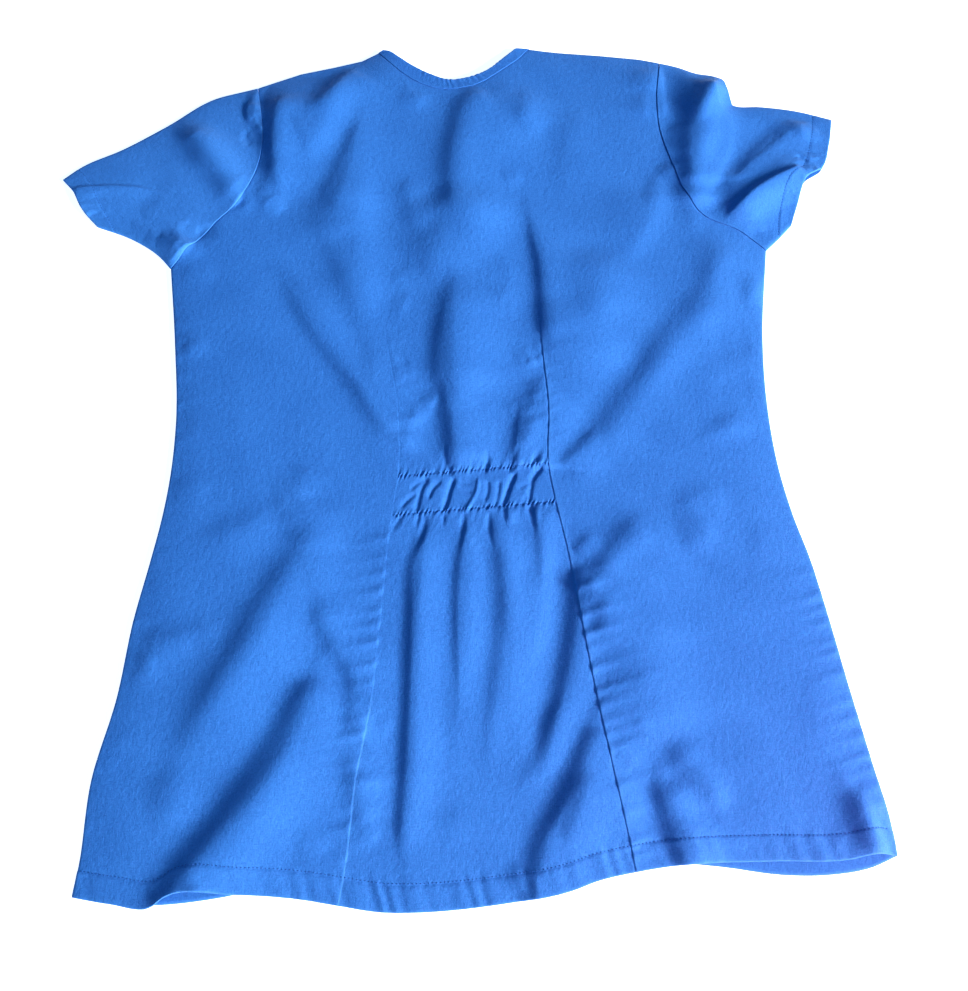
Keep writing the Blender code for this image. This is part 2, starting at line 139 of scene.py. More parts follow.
creases[0.2, 0.2] = (
    (1.7, 10.9, 36, -141, 222, -143, 250, -144, 280, -143, 308),
    (0.5, 5.9, 4.5, 217, 206, 226, 229, 236, 251, 239, 285),
    (-1, 23.6, 5.3, 234, 215, 249, 234, 267, 250, 289, 270),
    (-2, 13.6, 23.4, -299, 173, -285, 168, -265, 159, -248, 151),
    (2.7, 7.2, 23, -71, -239, -63, -227, -63, -207, -68, -190, -80, -176, -89, -158, -96, -139),
    (1.2, 7.3, 17.5, -22, -300, -18, -250, -18, -200, -17, -150, -14, -100),
)
creases[0.3, 0.1] = (
    (1.9, 8.7, 28.3, -117, 277, -107, 292, -97, 312, -85, 331),
    (2.4, 11, 15.5, 4, 180, 2, 215, 3, 240, 7, 264, 12, 288, 30, 310),
    (3.9, 9.9, 15.1, 63, -278, 73, -254, 82, -227, 89, -201, 95, -171, 99, -146, 100, -115),
)
creases[0.3, 0.3] = (
    (2.9, 36, 15.9, -127, 235, -116, 259, -107, 289, -93, 329),
    (-0.7, 9.7, 5.3, -123, 238, -132, 258, -143, 284),
    (0.4, 11.3, 10.3, -148, 187, -152, 203, -154, 218),
    (1.6, 10.2, 16.1, -25, 162, -31, 187, -35, 206, -33, 223),
    (3.1, 34.1, 19.7, -66, 73, -71, 102, -76, 132, -80, 170, -78, 207, -73, 238),
    (1, 22.6, 8.6, 49, 80, 47, 110, 46, 129, 40, 146),
    (1.2, 8.2, 18.2, 188, 234, 192, 262, 191, 274),
    (1.1, 5.6, 27.5, -212, 156, -223, 168, -241, 178, -263, 188),
    (1.1, 7, 11, -244, 158, -227, 156, -218, 151),
    (0.5, 4.4, 8.3, 42, 3, 52, 11, 62, 19),
    (1.3, 5.1, 7.3, 58, -28, 64, -12, 69, 2),
    (2.5, 11.4, 14.4, -58, -298, -55, -278, -56, -262),
    (1, 6.6, 7.8, -59, -332, -77, -329, -91, -323, -96, -311),
    (1.4, 12.9, 8, -47, -314, -53, -300, -59, -289),
    (1.2, 6.6, 8.9, 49, -280, 65, -260, 76, -233, 88, -208),
    (1.9, 16.4, 9.4, 108, -129, 119, -119, 134, -103, 157, -89),
    (0.7, 5.3, 11.2, 109, -211, 126, -207, 142, -200, 146, -190),
    (3.1, 8.5, 11.8, 189, -297, 183, -278, 172, -264, 163, -252, 155, -242),
    (-1.4, 30.6, 6.9, 187, -305, 180, -284, 170, -266, 157, -250),
    (0.4, 21, 4.7, 245, -298, 235, -272, 227, -250, 217, -228),
    (1.2, 10.8, 4, -159, 196, -149, 188, -136, 191),
    (0.4, 7.7, 4.4, -43, 34, -35, 36, -24, 37),
    (0.8, 8.4, 4.9, -100, -311, -87, -313, -77, -317),
    (4.1, 28.4, 36, 145, -254, 143, -214, 139, -173, 135, -138),
    (0.7, 4.6, 2.9, 270, -318, 271, -308, 273, -298),
    (1.4, 16.8, 23.9, -212, 217, -206, 242, -201, 269),
    (-0.9, 9.1, 7.6, -225, 174, -211, 166, -200, 165),
    (-2.1, 4, 6.5, -284, 174, -295, 178, -303, 186),
    (1.6, 1.9, 8.2, -173, 271, -177, 285, -175, 299),
    (0.5, 1.8, 4.2, -164, 275, -167, 286, -171, 294),
    (-0.9, 2.4, 3.8, -171, 249, -175, 255, -179, 261),
    (-0.8, 3.5, 1.9, -173, 260, -178, 266),
    (-0.5, 9.3, 8.3, 210, 215, 220, 235, 233, 257),
    (-0.3, 1.6, 1.8, 296, 248, 303, 244, 312, 243),
    (0.7, 1.6, 1.8, 298, 241, 306, 237, 314, 239),
    (-1, 1.7, 1.7, 292, 240, 298, 236, 303, 231),
    (-0.4, 1.6, 1.9, 287, 235, 293, 237, 300, 236),
    (0.4, 1.6, 1.6, 283, 205, 288, 200, 292, 197),
    (-1.4, 4.6, 8.5, -212, 163, -204, 167, -194, 173),
)
creases[0.2, 0.3] = (
    (1.7, 9, 26.1, -107, 188, -99, 210, -90, 233, -83, 253, -76, 279),
    (1, 8.5, 13.1, -222, -172, -197, -173, -176, -166, -157, -158),
    (0.9, 11, 13.3, -219, -201, -199, -177, -179, -167),
    (0.9, 10.7, 11.3, -225, -203, -217, -194, -206, -187),
    (2.2, 8.7, 24.7, 84, -315, 96, -287, 104, -260),
    (0.8, 6.1, 8, 104, -144, 109, -131, 118, -116, 127, -102, 139, -88, 157, -71),
    (1.9, 5.3, 18.7, -148, 232, -150, 262, -149, 290, -147, 305),
    (0.7, 5.8, 12.1, -48, 118, -38, 126, -26, 135),
    (1.4, 4.7, 8.5, 86, -40, 100, -28, 118, -8),
    (3.7, 9.7, 19.1, -190, -360, -171, -352, -152, -339),
)
creases[0.4, 0.4] = (
    (2.1, 18.5, 24.9, -97, 151, -99, 179, -96, 203),
    (0.5, 13.1, 4.8, -40, 290, -29, 293, -18, 305),
    (1.1, 12.3, 36, 98, 196, 98, 225, 101, 249, 104, 300),
    (2.1, 14.4, 15.7, 71, 254, 66, 285, 66, 315),
    (0.4, 6.7, 12.6, 109, 262, 111, 290),
    (2.3, 36, 12.2, 141, 126, 148, 151, 162, 176, 172, 197, 175, 216),
    (1.1, 9.6, 9.6, 197, 159, 202, 180, 197, 206, 193, 223),
    (1.6, 14.7, 11.8, 168, 301, 171, 321, 175, 336),
    (-1, 4.1, 11.3, 245, 173, 257, 166, 273, 169),
    (2.2, 9.5, 12.5, 295, 254, 302, 266, 309, 278),
    (1.3, 3.3, 2.8, -162, 262, -166, 272),
    (0.2, 2.4, 3.7, -165, 287, -172, 293),
    (0.7, 9.9, 23.1, -57, 57, -67, 74, -77, 100, -85, 124, -93, 144, -103, 164),
    (2.5, 12.6, 10, -37, -28, -33, -19, -33, -9),
    (-0.4, 5.1, 5, -40, 44, -32, 52),
    (0.6, 6.7, 4.4, -42, 83, -38, 97, -31, 110),
    (0.8, 7.9, 7.4, 51, 46, 58, 50, 69, 51),
    (0.8, 4.5, 4.2, 61, 45, 71, 49),
    (2.3, 15.4, 15.3, 140, 15, 162, 43, 180, 70, 205, 94, 230, 109),
    (4.2, 33.3, 30.3, 94, 29, 104, 57, 113, 85, 117, 116),
    (4.6, 31.8, 31.4, 112, 80, 121, 106, 127, 131, 133, 154),
    (1, 7.7, 9.3, 189, -24, 203, -14, 217, -4, 234, 6),
    (0.9, 8.2, 7.4, 204, -14, 223, -8, 243, -6),
    (1.5, 10.5, 22.8, 167, -75, 189, -67, 215, -57),
    (1.7, 12.3, 18.1, -191, -97, -158, -93, -139, -82, -124, -65),
    (2, 14.8, 15.7, -190, -307, -186, -281, -184, -257),
    (-1, 6.9, 10, -66, -257, -63, -248, -55, -240),
    (0.5, 4.1, 5.4, -40, -241, -45, -227),
    (3.4, 7.6, 15.2, 104, -173, 115, -163, 117, -145, 107, -137),
    (0.8, 12.3, 34.1, 272, -260, 264, -234, 266, -211, 258, -187),
    (0.7, 7.3, 14.1, 229, -119, 234, -100, 230, -81),
    (1.7, 17.5, 10.2, 172, -106, 187, -97, 201, -81),
    (1.2, 17.9, 17.2, -124, 243, -115, 261, -107, 279),
    (0.8, 14.8, 6, -50, 296, -38, 296, -29, 298, -22, 306),
    (0.7, 10, 5.1, 41, 214, 52, 216, 63, 215),
    (0.8, 10.5, 4, 168, 275, 167, 292, 168, 308),
    (0.4, 5.7, 3.6, 188, 270, 187, 290, 188, 305),
    (1.5, 11.7, 8.7, 178, 216, 183, 223, 180, 233),
    (1.3, 8.2, 4.3, -17, 6, -13, 13, -11, 22),
    (1.4, 6.6, 8.6, -32, -14, -28, -4, -26, 4),
    (1.5, 16.5, 16.5, -133, -78, -117, -70, -103, -57),
    (0.6, 9.1, 5.4, 37, 99, 43, 106, 47, 114),
    (1, 6, 13.7, 129, -265, 127, -249, 124, -235),
    (0.8, 6.4, 3.3, 149, -285, 146, -276, 143, -271),
    (-2, 1.6, 4.1, -183, 187, -176, 194, -172, 204),
)
creases[0.2, 0.4] = (
    (2.3, 12.3, 15.3, -161, 187, -154, 205, -147, 226, -142, 244),
    (0.6, 14.7, 6.1, -220, 129, -204, 125, -189, 123),
    (0.8, 7.9, 6.5, -211, 58, -203, 60, -192, 69),
    (0.5, 18.7, 7.1, -208, -9, -189, -7, -167, -14, -147, -22),
    (0.5, 6.9, 14.3, -209, -53, -195, -55, -177, -53),
    (1.6, 4.3, 8.5, 95, -109, 103, -101, 113, -92),
)
creases[0.4, 0.3] = (
    (5, 25.2, 36, -29, 110, -16, 124, -4, 154, 2, 189, 0, 216),
    (1.2, 13, 13, -112, -67, -109, -53, -105, -39),
    (1, 12.4, 9.2, 205, 115, 219, 135, 231, 151),
    (3.3, 11.7, 15.7, 239, 97, 249, 108, 261, 124),
    (-1, 14.6, 10.2, 205, 55, 222, 61, 244, 63),
    (-0.7, 10.1, 18, 204, 32, 222, 28, 243, 32),
    (1.5, 33.8, 18.9, -170, -233, -155, -209, -140, -181, -128, -157, -123, -136),
    (0.9, 8.5, 14.4, 19, -200, 20, -150, 21, -100),
    (0.8, 11.6, 11, 46, -180, 46, -140, 46, -95),
    (1.6, 15, 13.1, 56, -198, 64, -168, 69, -139, 70, -110),
)
creases[0.1, 0.4] = (
    (1.9, 5.6, 20.9, 79, 64, 77, 80, 76, 110, 74, 141, 69, 161, 66, 186),
    (3.1, 7.5, 29.4, -35, -23, -49, -5, -58, 9, -72, 31, -89, 53, -104, 73, -114, 88, -130, 114,
     -144, 138),
    (2.7, 13.4, 17.9, 85, -44, 99, -34, 112, -20, 126, -1, 144, 25, 156, 41, 168, 59, 184, 77,
     200, 95, 214, 121, 217, 158),
    (0.9, 14.5, 16.3, -151, -332, -138, -313, -123, -283, -110, -257, -104, -228),
    (1.1, 1.8, 8.1, -321, 208, -308, 209, -290, 210, -270, 209, -252, 206, -236, 201),
)
creases[0.5, 0.5] = (
    (0.6, 6.2, 11, 56, 270, 61, 282, 65, 294),
    (1, 12.9, 15.9, 3, -315, 9, -300, 11, -281),
    (0.8, 6.4, 6.4, 134, -238, 144, -228),
)
creases[0.3, 0.4] = (
    (1.1, 5.8, 13.2, 163, 186, 169, 201, 173, 215, 184, 225),
    (1.7, 18.4, 22.2, -103, -112, -102, -90, -106, -63),
    (-0.7, 8, 21.3, -232, -247, -205, -255, -186, -255),
)
creases[0.1, 0] = (
    (3.2, 11.6, 36, 204, 205, 203, 235, 205, 264, 207, 299, 210, 329),
)
creases[0.2, 0] = (
    (1.2, 27, 3.4, 182, 275, 182, 300, 181, 335),
)
creases[0.1, 0.1] = (
    (5, 15.4, 17.5, 205, 186, 207, 216, 212, 246, 221, 281, 232, 319),
    (1.3, 8, 16.5, 232, 199, 243, 216, 256, 237, 272, 255, 302, 278),
    (2, 5.7, 15.2, -28, -322, -26, -290, -24, -250, -23, -200, -23, -150, -22, -116, -14, -96, -9,
     -82),
)
creases[0.4, 0.2] = (
    (2.8, 7.7, 10.4, 293, 225, 305, 221, 315, 224),
    (1, 4.8, 6.9, 110, -165, 109, -145, 106, -128),
)
creases[0.1, 0.2] = (
    (0.8, 10.5, 16.5, -177, 201, -186, 208, -197, 222, -210, 239, -215, 253, -218, 277),
    (2.9, 9.6, 36, 54, -43, 56, -27, 61, -9, 66, 5, 71, 19, 81, 34),
)
creases[0.3, 0] = (
    (2, 5.3, 4.7, -166, 263, -169, 280, -172, 304),
)
creases[0.4, 0.5] = (
    (1.2, 7.8, 5.9, -31, -4, -20, 3, -13, 14),
)
creases[0.1, 0.3] = (
    (1.9, 8.7, 30.7, 5, -42, 5, -20, 4, 1, -2, 22, -6, 46, -4, 74, -1, 109),
    (1.1, 12.3, 9.1, 129, -318, 127, -290, 125, -264),
)
creases[0.3, 0.2] = (
    (0.6, 7, 12.1, -187, -244, -175, -228, -163, -208, -152, -188, -142, -167, -135, -148, -124,
     -131, -111, -102),
    (2.3, 9.3, 18.7, -62, -284, -61, -262, -61, -242, -53, -225),
)
creases[0, 0.1] = (
    (5, 13.8, 36, -182, -352, -168, -334, -152, -315, -136, -295, -119, -273, -104, -247, -95,
     -223, -84, -197),
    (3.2, 8.8, 36, 65, -346, 65, -327, 71, -308, 85, -289, 97, -268, 103, -252, 113, -232),
)
creases[0.4, 0.1] = (
    (1.6, 4.8, 14, 9, -235, 11, -210, 11, -180, 10, -150, 11, -122, 14, -101, 18, -81),
)
creases[0.5, 0.1] = (
    (2, 8.1, 14.1, 30, -280, 34, -235, 39, -205, 43, -170, 45, -145, 43, -118, 39, -95, 37, -78),
    (1.5, 4.3, 6.3, 47, -88, 47, -74),
    (1.7, 5.2, 14, 70, -138, 72, -108, 70, -87, 67, -71),
)
creases[0.5, 0.2] = (
    (1.3, 7.5, 11.1, 47, -347, 50, -333, 53, -324),
)
creases[0, 0.3] = (
    (3.3, 9.5, 14.6, 168, -323, 165, -303, 158, -286, 150, -268),
)
creases[0.25, 0.1] = (
    (3.8, 4.4, 16, 225, 175, 238, 186, 254, 201, 268, 211, 287, 221, 298, 227),
    (3.6, 3, 16, -209, 158, -215, 153, -223, 146, -232, 138, -239, 129),
)
creases[0.4, 0] = (
    (4.5, 12, 10, 206, 262, 214, 284, 225, 303, 237, 318, 242, 328),
)

# Sections of the body from the hem to the shoulders: left edge, left and right dart seam,
# right edge, then the rows of mesh up to the next section, on the back and on the front.
body = {
    "sections": (
        ((-249, -346), (-69, -351), (130, -330), (309, -320), 16, 8),
        ((-247, -329), (-66, -333), (127, -313), (308, -303), 24, 8),
        ((-245, -270), (-60, -270), (117, -262), (299, -256), 24, 8),
        ((-234, -215), (-51, -215), (107, -209), (289, -205), 26, 8),
        ((-228, -158), (-47, -158), (98, -156), (280, -156), 20, 6),
        ((-220, -112), (-44, -113), (91, -110), (271, -112), 18, 6),
        ((-215, -80), (-41, -79), (82, -68), (261, -76), 28, 6),        # lower stitch row
        ((-212, -47), (-37, -48), (77, -38), (254, -40), 20, 6),        # upper stitch row
        ((-212, 0), (-38, 0), (78, 5), (250, 8), 26, 12),
        ((-219, 64), (-52, 84), (73, 72), (251, 66), 18, 8),            # tips of the darts
        ((-229, 133), (-56, 150), (70, 150), (261, 150), 8, 4),         # underarm
        ((-214, 151), (-57, 175), (69, 172), (240, 167), 8, 4),
        ((-195, 175), (-58, 198), (68, 192), (209, 183), 8, 4),
        ((-175, 198), (-58, 220), (67, 212), (196, 202), 10, 4),
        ((-164, 228), (-59, 250), (66, 245), (187, 232), 8, 4),
        ((-161, 255), (-60, 278), (65, 273), (179, 266), 10, 4),
        ((-164, 284), (-62, 312), (65, 312), (178, 302), 16, 8),
        ((-170, 313), (-66, 347), (68, 355), (183, 340), 0, 0),
    ),
    "crowded": (0, 1, 5, 6, 7, 16),     # sections whose rows crowd towards both their ends
    # shares of the bends' fading that fall to each section, on the back and on the front
    "backSteps": (1, 3, 3, 3, 3, 4, 4, 5, 4, 4, 2, 2, 2, 2, 2, 2, 2),
    "frontSteps": (1, 1, 1, 1, 1, 1, 1, 2, 2, 2, 2, 2, 2, 2, 2, 2, 2),
    "sideColumns": 60,
    "centreColumns": 150,
    "frontColumns": 56,
    "lowerStitch": 6,           # sections at the two rows of stitches of the elastic
    "upperStitch": 7,
    "dartTip": 9,
    "underarm": 10,
    "hemFade": 0.16,            # share of the body over which the hem's waviness dies out
    "neckFade": 0.45,           # and over which the neck's curve does
    "hemWidth": 17.0,
    "backHem": ((-249, -346), (-222, -350), (-194, -352), (-184, -345), (-138, -344),
                (-95, -347), (-69, -351), (-41, -355), (-13, -355), (39, -350), (85, -342),
                (106, -335), (130, -330), (156, -326), (224, -323), (275, -322),
                (296, -318), (309, -320)),
    "frontHem": ((-249, -346), (-222, -350), (-194, -351), (-161, -348), (-138, -344),
                 (-112, -336), (-30, -330), (70, -323), (130, -320), (160, -324),
                 (191, -327), (231, -332), (261, -332), (292, -327), (309, -320)),
    "backTop": ((-170, 313), (-133, 328), (-103, 335.5), (-80, 342), (-66, 350.5), (-56, 339),
                (-46, 328.5), (-37, 321), (-28, 315.2), (-18, 311.2), (-8, 309), (5, 309.2),
                (18, 312), (30, 318.6), (40, 326.6), (50, 335), (59, 343), (68, 355),
                (80, 353), (95, 351), (130, 348), (165, 344), (183, 340)),
    "frontTop": ((-170, 313), (-103, 337), (-66, 347), (1, 206), (68, 355), (95, 351),
                 (183, 340)),
}


# lines

# Distance travelled along a line at each of its points.
def travelled(line):
    return np.concatenate([[0.0], np.cumsum(np.hypot(*np.diff(line, axis=0).T))])


# Cubic Hermite curve through the points, slopes from their neighbours, read in each span
# at the given shares of it.
def smoothLine(points, spans):
    points = np.array(points, float)
    reach = travelled(points)
    slopes = np.gradient(points, reach, axis=0)
    places = []
    for start, shares in enumerate(spans):
        share = np.asarray(shares)[:, None]
        fromHere = (2 * share - 3) * share ** 2 + 1
        leaving = share * (share - 1) ** 2
        arriving = share ** 2 * (share - 1)
        places.append(fromHere * points[start] + (1 - fromHere) * points[start + 1]
                      + (reach[start + 1] - reach[start])
                      * (leaving * slopes[start] + arriving * slopes[start + 1]))
    return np.vstack(places + [points[-1:]])


def evenSpans(counts):
    return [np.arange(count) / count for count in counts]


# Smooth curve through the points, read at shares of its length.
def spacedLine(points, shares):
    fine = smoothLine(points, evenSpans([8] * (len(points) - 1)))
    reach = travelled(fine)
    wanted = np.asarray(shares) * reach[-1]
    return np.column_stack([np.interp(wanted, reach, fine[:, axis]) for axis in (0, 1)])


# A line moved to its left by a distance, each point along the mitre of its two stretches.
def movedAside(line, distance):
    run = np.diff(line, axis=0)
    leftward = np.column_stack([-run[:, 1], run[:, 0]]) / np.hypot(*run.T)[:, None]
    before = np.vstack([leftward[:1], leftward])
    after = np.vstack([leftward, leftward[-1:]])
    facing = np.sum(before * after, axis=1, keepdims=True)
    return line + distance * (before + after) / (1 + facing)


# 0 below start, 1 above end and smooth between them.
def fade(values, start, end):
    share = np.clip((values - start) / (end - start), 0.0, 1.0)
    return share * share * (3 - 2 * share)


# Shares from 0 to 1 whose steps grow from a small first one at each end.
def edgeShares(count, first=0.15, growth=1.6):
    steps = np.minimum(first * growth ** np.arange(count), 1.0)
    steps = np.minimum(steps, steps[::-1])
    return np.concatenate([[0.0], np.cumsum(steps) / steps.sum()])


# the body's plan

backRows = [section[4] for section in body["sections"]]
frontRows = [section[5] for section in body["sections"]]


# Shares of each section at which its rows lie; some sections' rows crowd to their ends.
def bodySpans(counts):
    spans = evenSpans(counts[:-1])
    for section in body["crowded"]:
        spans[section] = edgeShares(counts[section])[:-1]
    return spans


# One column of the sections as a smooth line, with a corner at the underarm.
def bodyLine(column, counts):
    points = [section[column] for section in body["sections"]]
    spans = bodySpans(counts)
    corner = body["underarm"]
    skirt = smoothLine(points[:corner + 1], spans[:corner])
    yoke = smoothLine(points[corner:], spans[corner:])
    return np.vstack([skirt[:-1], yoke])


def rowOf(section, counts=backRows):
    return sum(counts[:section])


# Straight rows between two lines; what the hem and the top depart from them is added in
# full at the edge and dies out away from it.
def panelGrid(left, right, shares, hem, top, counts, steps):
    across = shares[None, :, None]
    grid = left[:, None, :] * (1 - across) + right[:, None, :] * across
    stops = np.concatenate([[0.0], np.cumsum(steps)]) / np.sum(steps)
    up = np.concatenate([stops[i] + (stops[i + 1] - stops[i]) * np.asarray(span)
                         for i, span in enumerate(bodySpans(counts))] + [[1.0]])[:, None]
    weights = {0: 1 - fade(up, 0.0, body["hemFade"]),
               -1: fade(up, 1 - body["neckFade"], 1.0)}
    for row, edge in ((0, smoothLine(hem, evenSpans([6] * (len(hem) - 1)))), (-1, top)):
        table = np.array(edge, float)
        bend = np.interp(grid[row, :, 0], table[:, 0], table[:, 1]) - grid[row, :, 1]
        grid[:, :, 1] += weights[row] * bend
    return grid


sleeves = {
    "sleeve_left": {
        "edge": 0, "outward": 1,
        "top": ((-170, 313), (-184, 309), (-206, 302), (-246, 273), (-282, 249),
                (-314, 232), (-329, 219)),
        "under": ((-229, 133), (-240, 145), (-262, 160), (-294, 173)),
        "cuff": ((-294, 173), (-309, 190), (-319, 208), (-329, 219)),
    },
    "sleeve_right": {
        "edge": 3, "outward": -1,
        "top": ((183, 340), (198, 336), (215, 329), (232, 325.5), (238, 322.5),
                (241, 315), (243.6, 300), (244.8, 295.2), (247, 294.3), (267, 293.5), (301, 288.5),
                (329, 280)),
        "under": ((261, 150), (272, 161), (284, 174)),
        "cuff": ((284, 174), (290, 192), (300, 218), (314, 228), (323, 252), (329, 280)),
    },
}
sleeveShape = {"columns": 128, "rows": 112, "foldTop": 3.6, "foldInset": 2.5, "foldWall": 1.8,
               "hemWidth": 16.0}


# Patch between four edges, from the underarm fold up and from the armhole to the cuff:
# the straight blends each way, less the corners' blend.
def sleeveGrid(sleeve, up, out):
    armhole = bodyLine(sleeve["edge"], backRows)[rowOf(body["underarm"]):]
    armhole = movedAside(armhole, sleeve["outward"] * lay["gap"])
    reach = travelled(armhole) / travelled(armhole)[-1]
    inner = np.column_stack([np.interp(up, reach, armhole[:, axis]) for axis in (0, 1)])
    outer = spacedLine(sleeve["cuff"], up)
    under = spacedLine((inner[0],) + sleeve["under"][1:], out)
    top = spacedLine((inner[-1],) + sleeve["top"][1:], out)
    up, out = up[:, None, None], out[None, :, None]
    corners = ((1 - up) * (1 - out) * inner[0] + (1 - up) * out * outer[0]
               + up * (1 - out) * inner[-1] + up * out * outer[-1])
    return ((1 - out) * inner[:, None, :] + out * outer[:, None, :]
            + (1 - up) * under[None, :, :] + up * top[None, :, :] - corners)


# heights

# Side seams, sleeve folds and shoulders, where the upper cloth meets the lower.
def closedEdges():
    lines = [bodyLine(column, backRows)[:rowOf(body["underarm"]) + 1] for column in (0, 3)]
    shares = np.linspace(0.0, 1.0, 25)
    for sleeve in sleeves.values():
        lines += [spacedLine(sleeve["top"], shares), spacedLine(sleeve["under"], shares)]
    top = np.array(body["backTop"], float)
    neckLeft, neckRight = body["sections"][-1][1][0], body["sections"][-1][2][0]
    return lines + [top[top[:, 0] <= neckLeft], top[top[:, 0] >= neckRight]]


# Distance of each place from the nearest of several open lines.
def distanceTo(lines, places):
    nearest = np.full(places.shape[:-1], np.inf)
    for line in lines:
        for start, end in zip(line[:-1], line[1:]):
            run = end - start
            along = np.clip(((places - start) @ run) / (run @ run), 0.0, 1.0)
            away = places - (start + along[..., None] * run)
            nearest = np.minimum(nearest, np.hypot(away[..., 0], away[..., 1]))
    return nearest


# Sum of the folds: a bell across each bent line, dying out at its two ends.
def foldHeight(places):
    total = np.zeros(places.shape[:-1])
    for x1, y1, x2, y2, bow, left, right, height in folds:
        run = np.array((x2 - x1, y2 - y1), float)
        length = np.hypot(*run)
        run /= length
        offset = places - (x1, y1)
        along = (offset @ run) / length
        bent = bow * (1 - (2 * np.clip(along, 0.0, 1.0) - 1) ** 2)
        aside = offset[..., 1] * run[0] - offset[..., 0] * run[1] - bent
        ends = fade(along, *lay["foldStart"]) * (1 - fade(along, *lay["foldFinish"]))
        width = np.where(aside > 0, left, right) * (lay["taper"] + (1 - lay["taper"]) * ends)
        total += height * np.exp(-(aside / width) ** 2) * ends
    return total


# Share of the way along a line and signed distance to its left, for each place.
def alongAndAside(places, line):
    reach = travelled(line)
    nearest = np.full(len(places), np.inf)
    along, aside = np.zeros(len(places)), np.zeros(len(places))
    for start, end, begun in zip(line[:-1], line[1:], reach):
        run = end - start
        share = np.clip(((places - start) @ run) / (run @ run), 0.0, 1.0)
        away = places - start - share[:, None] * run
        distance = np.hypot(*away.T)
        closer = distance < nearest
        nearest[closer] = distance[closer]
        side = np.sign(run[0] * away[:, 1] - run[1] * away[:, 0])
        aside[closer] = (side * distance)[closer]
        along[closer] = (begun + share * np.hypot(*run))[closer]
    return along / reach[-1], aside


# Sum of the fine creases: a bell across each smooth line, fading in and out along it.
def creaseHeight(places):
    flat = places.reshape(-1, 2)
    total = np.zeros(len(flat))
    rows = [(*shares, *row) for shares, group in creases.items() for row in group]
    for rise, fall, height, left, right, *points in rows:
        line = smoothLine(np.reshape(points, (-1, 2)), evenSpans([6] * (len(points) // 2 - 1)))
        reach = 3 * max(left, right)
        near = np.all((flat > line.min(0) - reach) & (flat < line.max(0) + reach), axis=1)
        along, aside = alongAndAside(flat[near], line)
        ends = fade(along, 0.0, rise) if rise else np.ones(len(along))
        ends *= 1 - fade(along, 1 - fall, 1.0) if fall else 1
        width = np.where(aside > 0, left, right) * (lay["taper"] + (1 - lay["taper"]) * ends)
        total[near] += height * np.exp(-(aside / width) ** 2) * ends
    return total.reshape(places.shape[:-1])


# Broad unevenness: a few sine waves of seeded directions and lengths.
def swellHeight(places):
    seeded = np.random.default_rng(7)
    total = np.zeros(places.shape[:-1])
    for wave in range(9):
        angle, length = seeded.uniform(0, math.pi), seeded.uniform(24, 70)
        phase = seeded.uniform(0, 6)
        along = places[..., 0] * math.cos(angle) + places[..., 1] * math.sin(angle)
        total += np.sin(2 * math.pi * along / length + phase)
    return total * lay["swell"] / 3


# The upper cloth's face: loft away from the closed edges plus the folds, eased so that a
# trough never sinks into the layer under it.
def clothHeight(places):
    inward = 1 - np.exp(-distanceTo(edgesOfCloth, places) / lay["loftReach"])
    raised = lay["loft"] * inward + foldHeight(places) * np.minimum(1.0, lay["foldGrowth"] * inward)
    raised += (creaseHeight(places) + swellHeight(places)) * np.minimum(1.0, 2 * inward)
    lowest = lay["troughShare"] * lay["loft"] * inward
    eased = (raised + lowest + np.hypot(raised - lowest, inward)) / 2
    return lay["sideTop"] + eased


# Drop of a turned edge: a quarter circle over the last stretch before it.
def rolled(distance, radius):
    share = 1 - np.clip(distance / radius, 0.0, 1.0)
    return radius * (1 - np.sqrt(1 - share ** 2))


edgesOfCloth = closedEdges()
print("plan and heights ready")


# meshes

# Four-cornered faces between the numbered points of a grid, closed on itself if a ring.
def gridFaces(numbers, ring):
    if ring:
        numbers = np.vstack([numbers, numbers[:1]])
    corners = (numbers[:-1, :-1], numbers[:-1, 1:], numbers[1:, 1:], numbers[1:, :-1])
    return np.stack(corners, axis=-1).reshape(-1, 4)


# Sides of a grid in order round it; a ring has only its two open ends.
def sidesOf(numbers, ring):
    if ring:
        closed = np.vstack([numbers, numbers[:1]])
        return [closed[:, -1], closed[::-1, 0]]
    return [numbers[0], numbers[:, -1], numbers[-1, ::-1], numbers[::-1, 0]]


# Turns flat lists of corners the other way round if the closed mesh is inside out, which
# its signed volume tells: a third of the sum of each face's area vector times its place.
def facingOut(points, faces):
    volume = 0.0
    for group in faces:
        first = points[group[:, 0]]
        for corner in range(1, group.shape[1] - 1):
            second, third = points[group[:, corner]], points[group[:, corner + 1]]
            volume += float(np.sum(first * np.cross(second, third)))
    return faces if volume > 0 else [group[:, ::-1] for group in faces]


# Puts points (in millimetres) and faces into a new object, with a map and the places paled for wear
# and for painted highlight.
def addObject(name, points, faces, material, chart=None, wearAndHighlight=None, sharp=0.9):
    faces = facingOut(points, faces)
    mesh = bpy.data.meshes.new(name)
    mesh.from_pydata((points * mm).tolist(), [], [f for group in faces for f in group.tolist()])
    if chart is not None:
        corners = np.zeros(len(mesh.loops), int)
        mesh.loops.foreach_get("vertex_index", corners)
        layer = mesh.uv_layers.new(name="chart")
        layer.uv.foreach_set("vector", (chart * mm)[corners].ravel())
    if wearAndHighlight is not None:
        mesh.attributes.new("wearAndHighlight", "FLOAT", "POINT").data.foreach_set("value", wearAndHighlight)
    mesh.shade_smooth()
    mesh.set_sharp_from_angle(angle=sharp)
    mesh.materials.append(material)
    made = bpy.data.objects.new(name, mesh)
    bpy.context.scene.collection.objects.link(made)
    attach(made, "root")
    print("made", name, len(mesh.polygons), "faces")
    return made


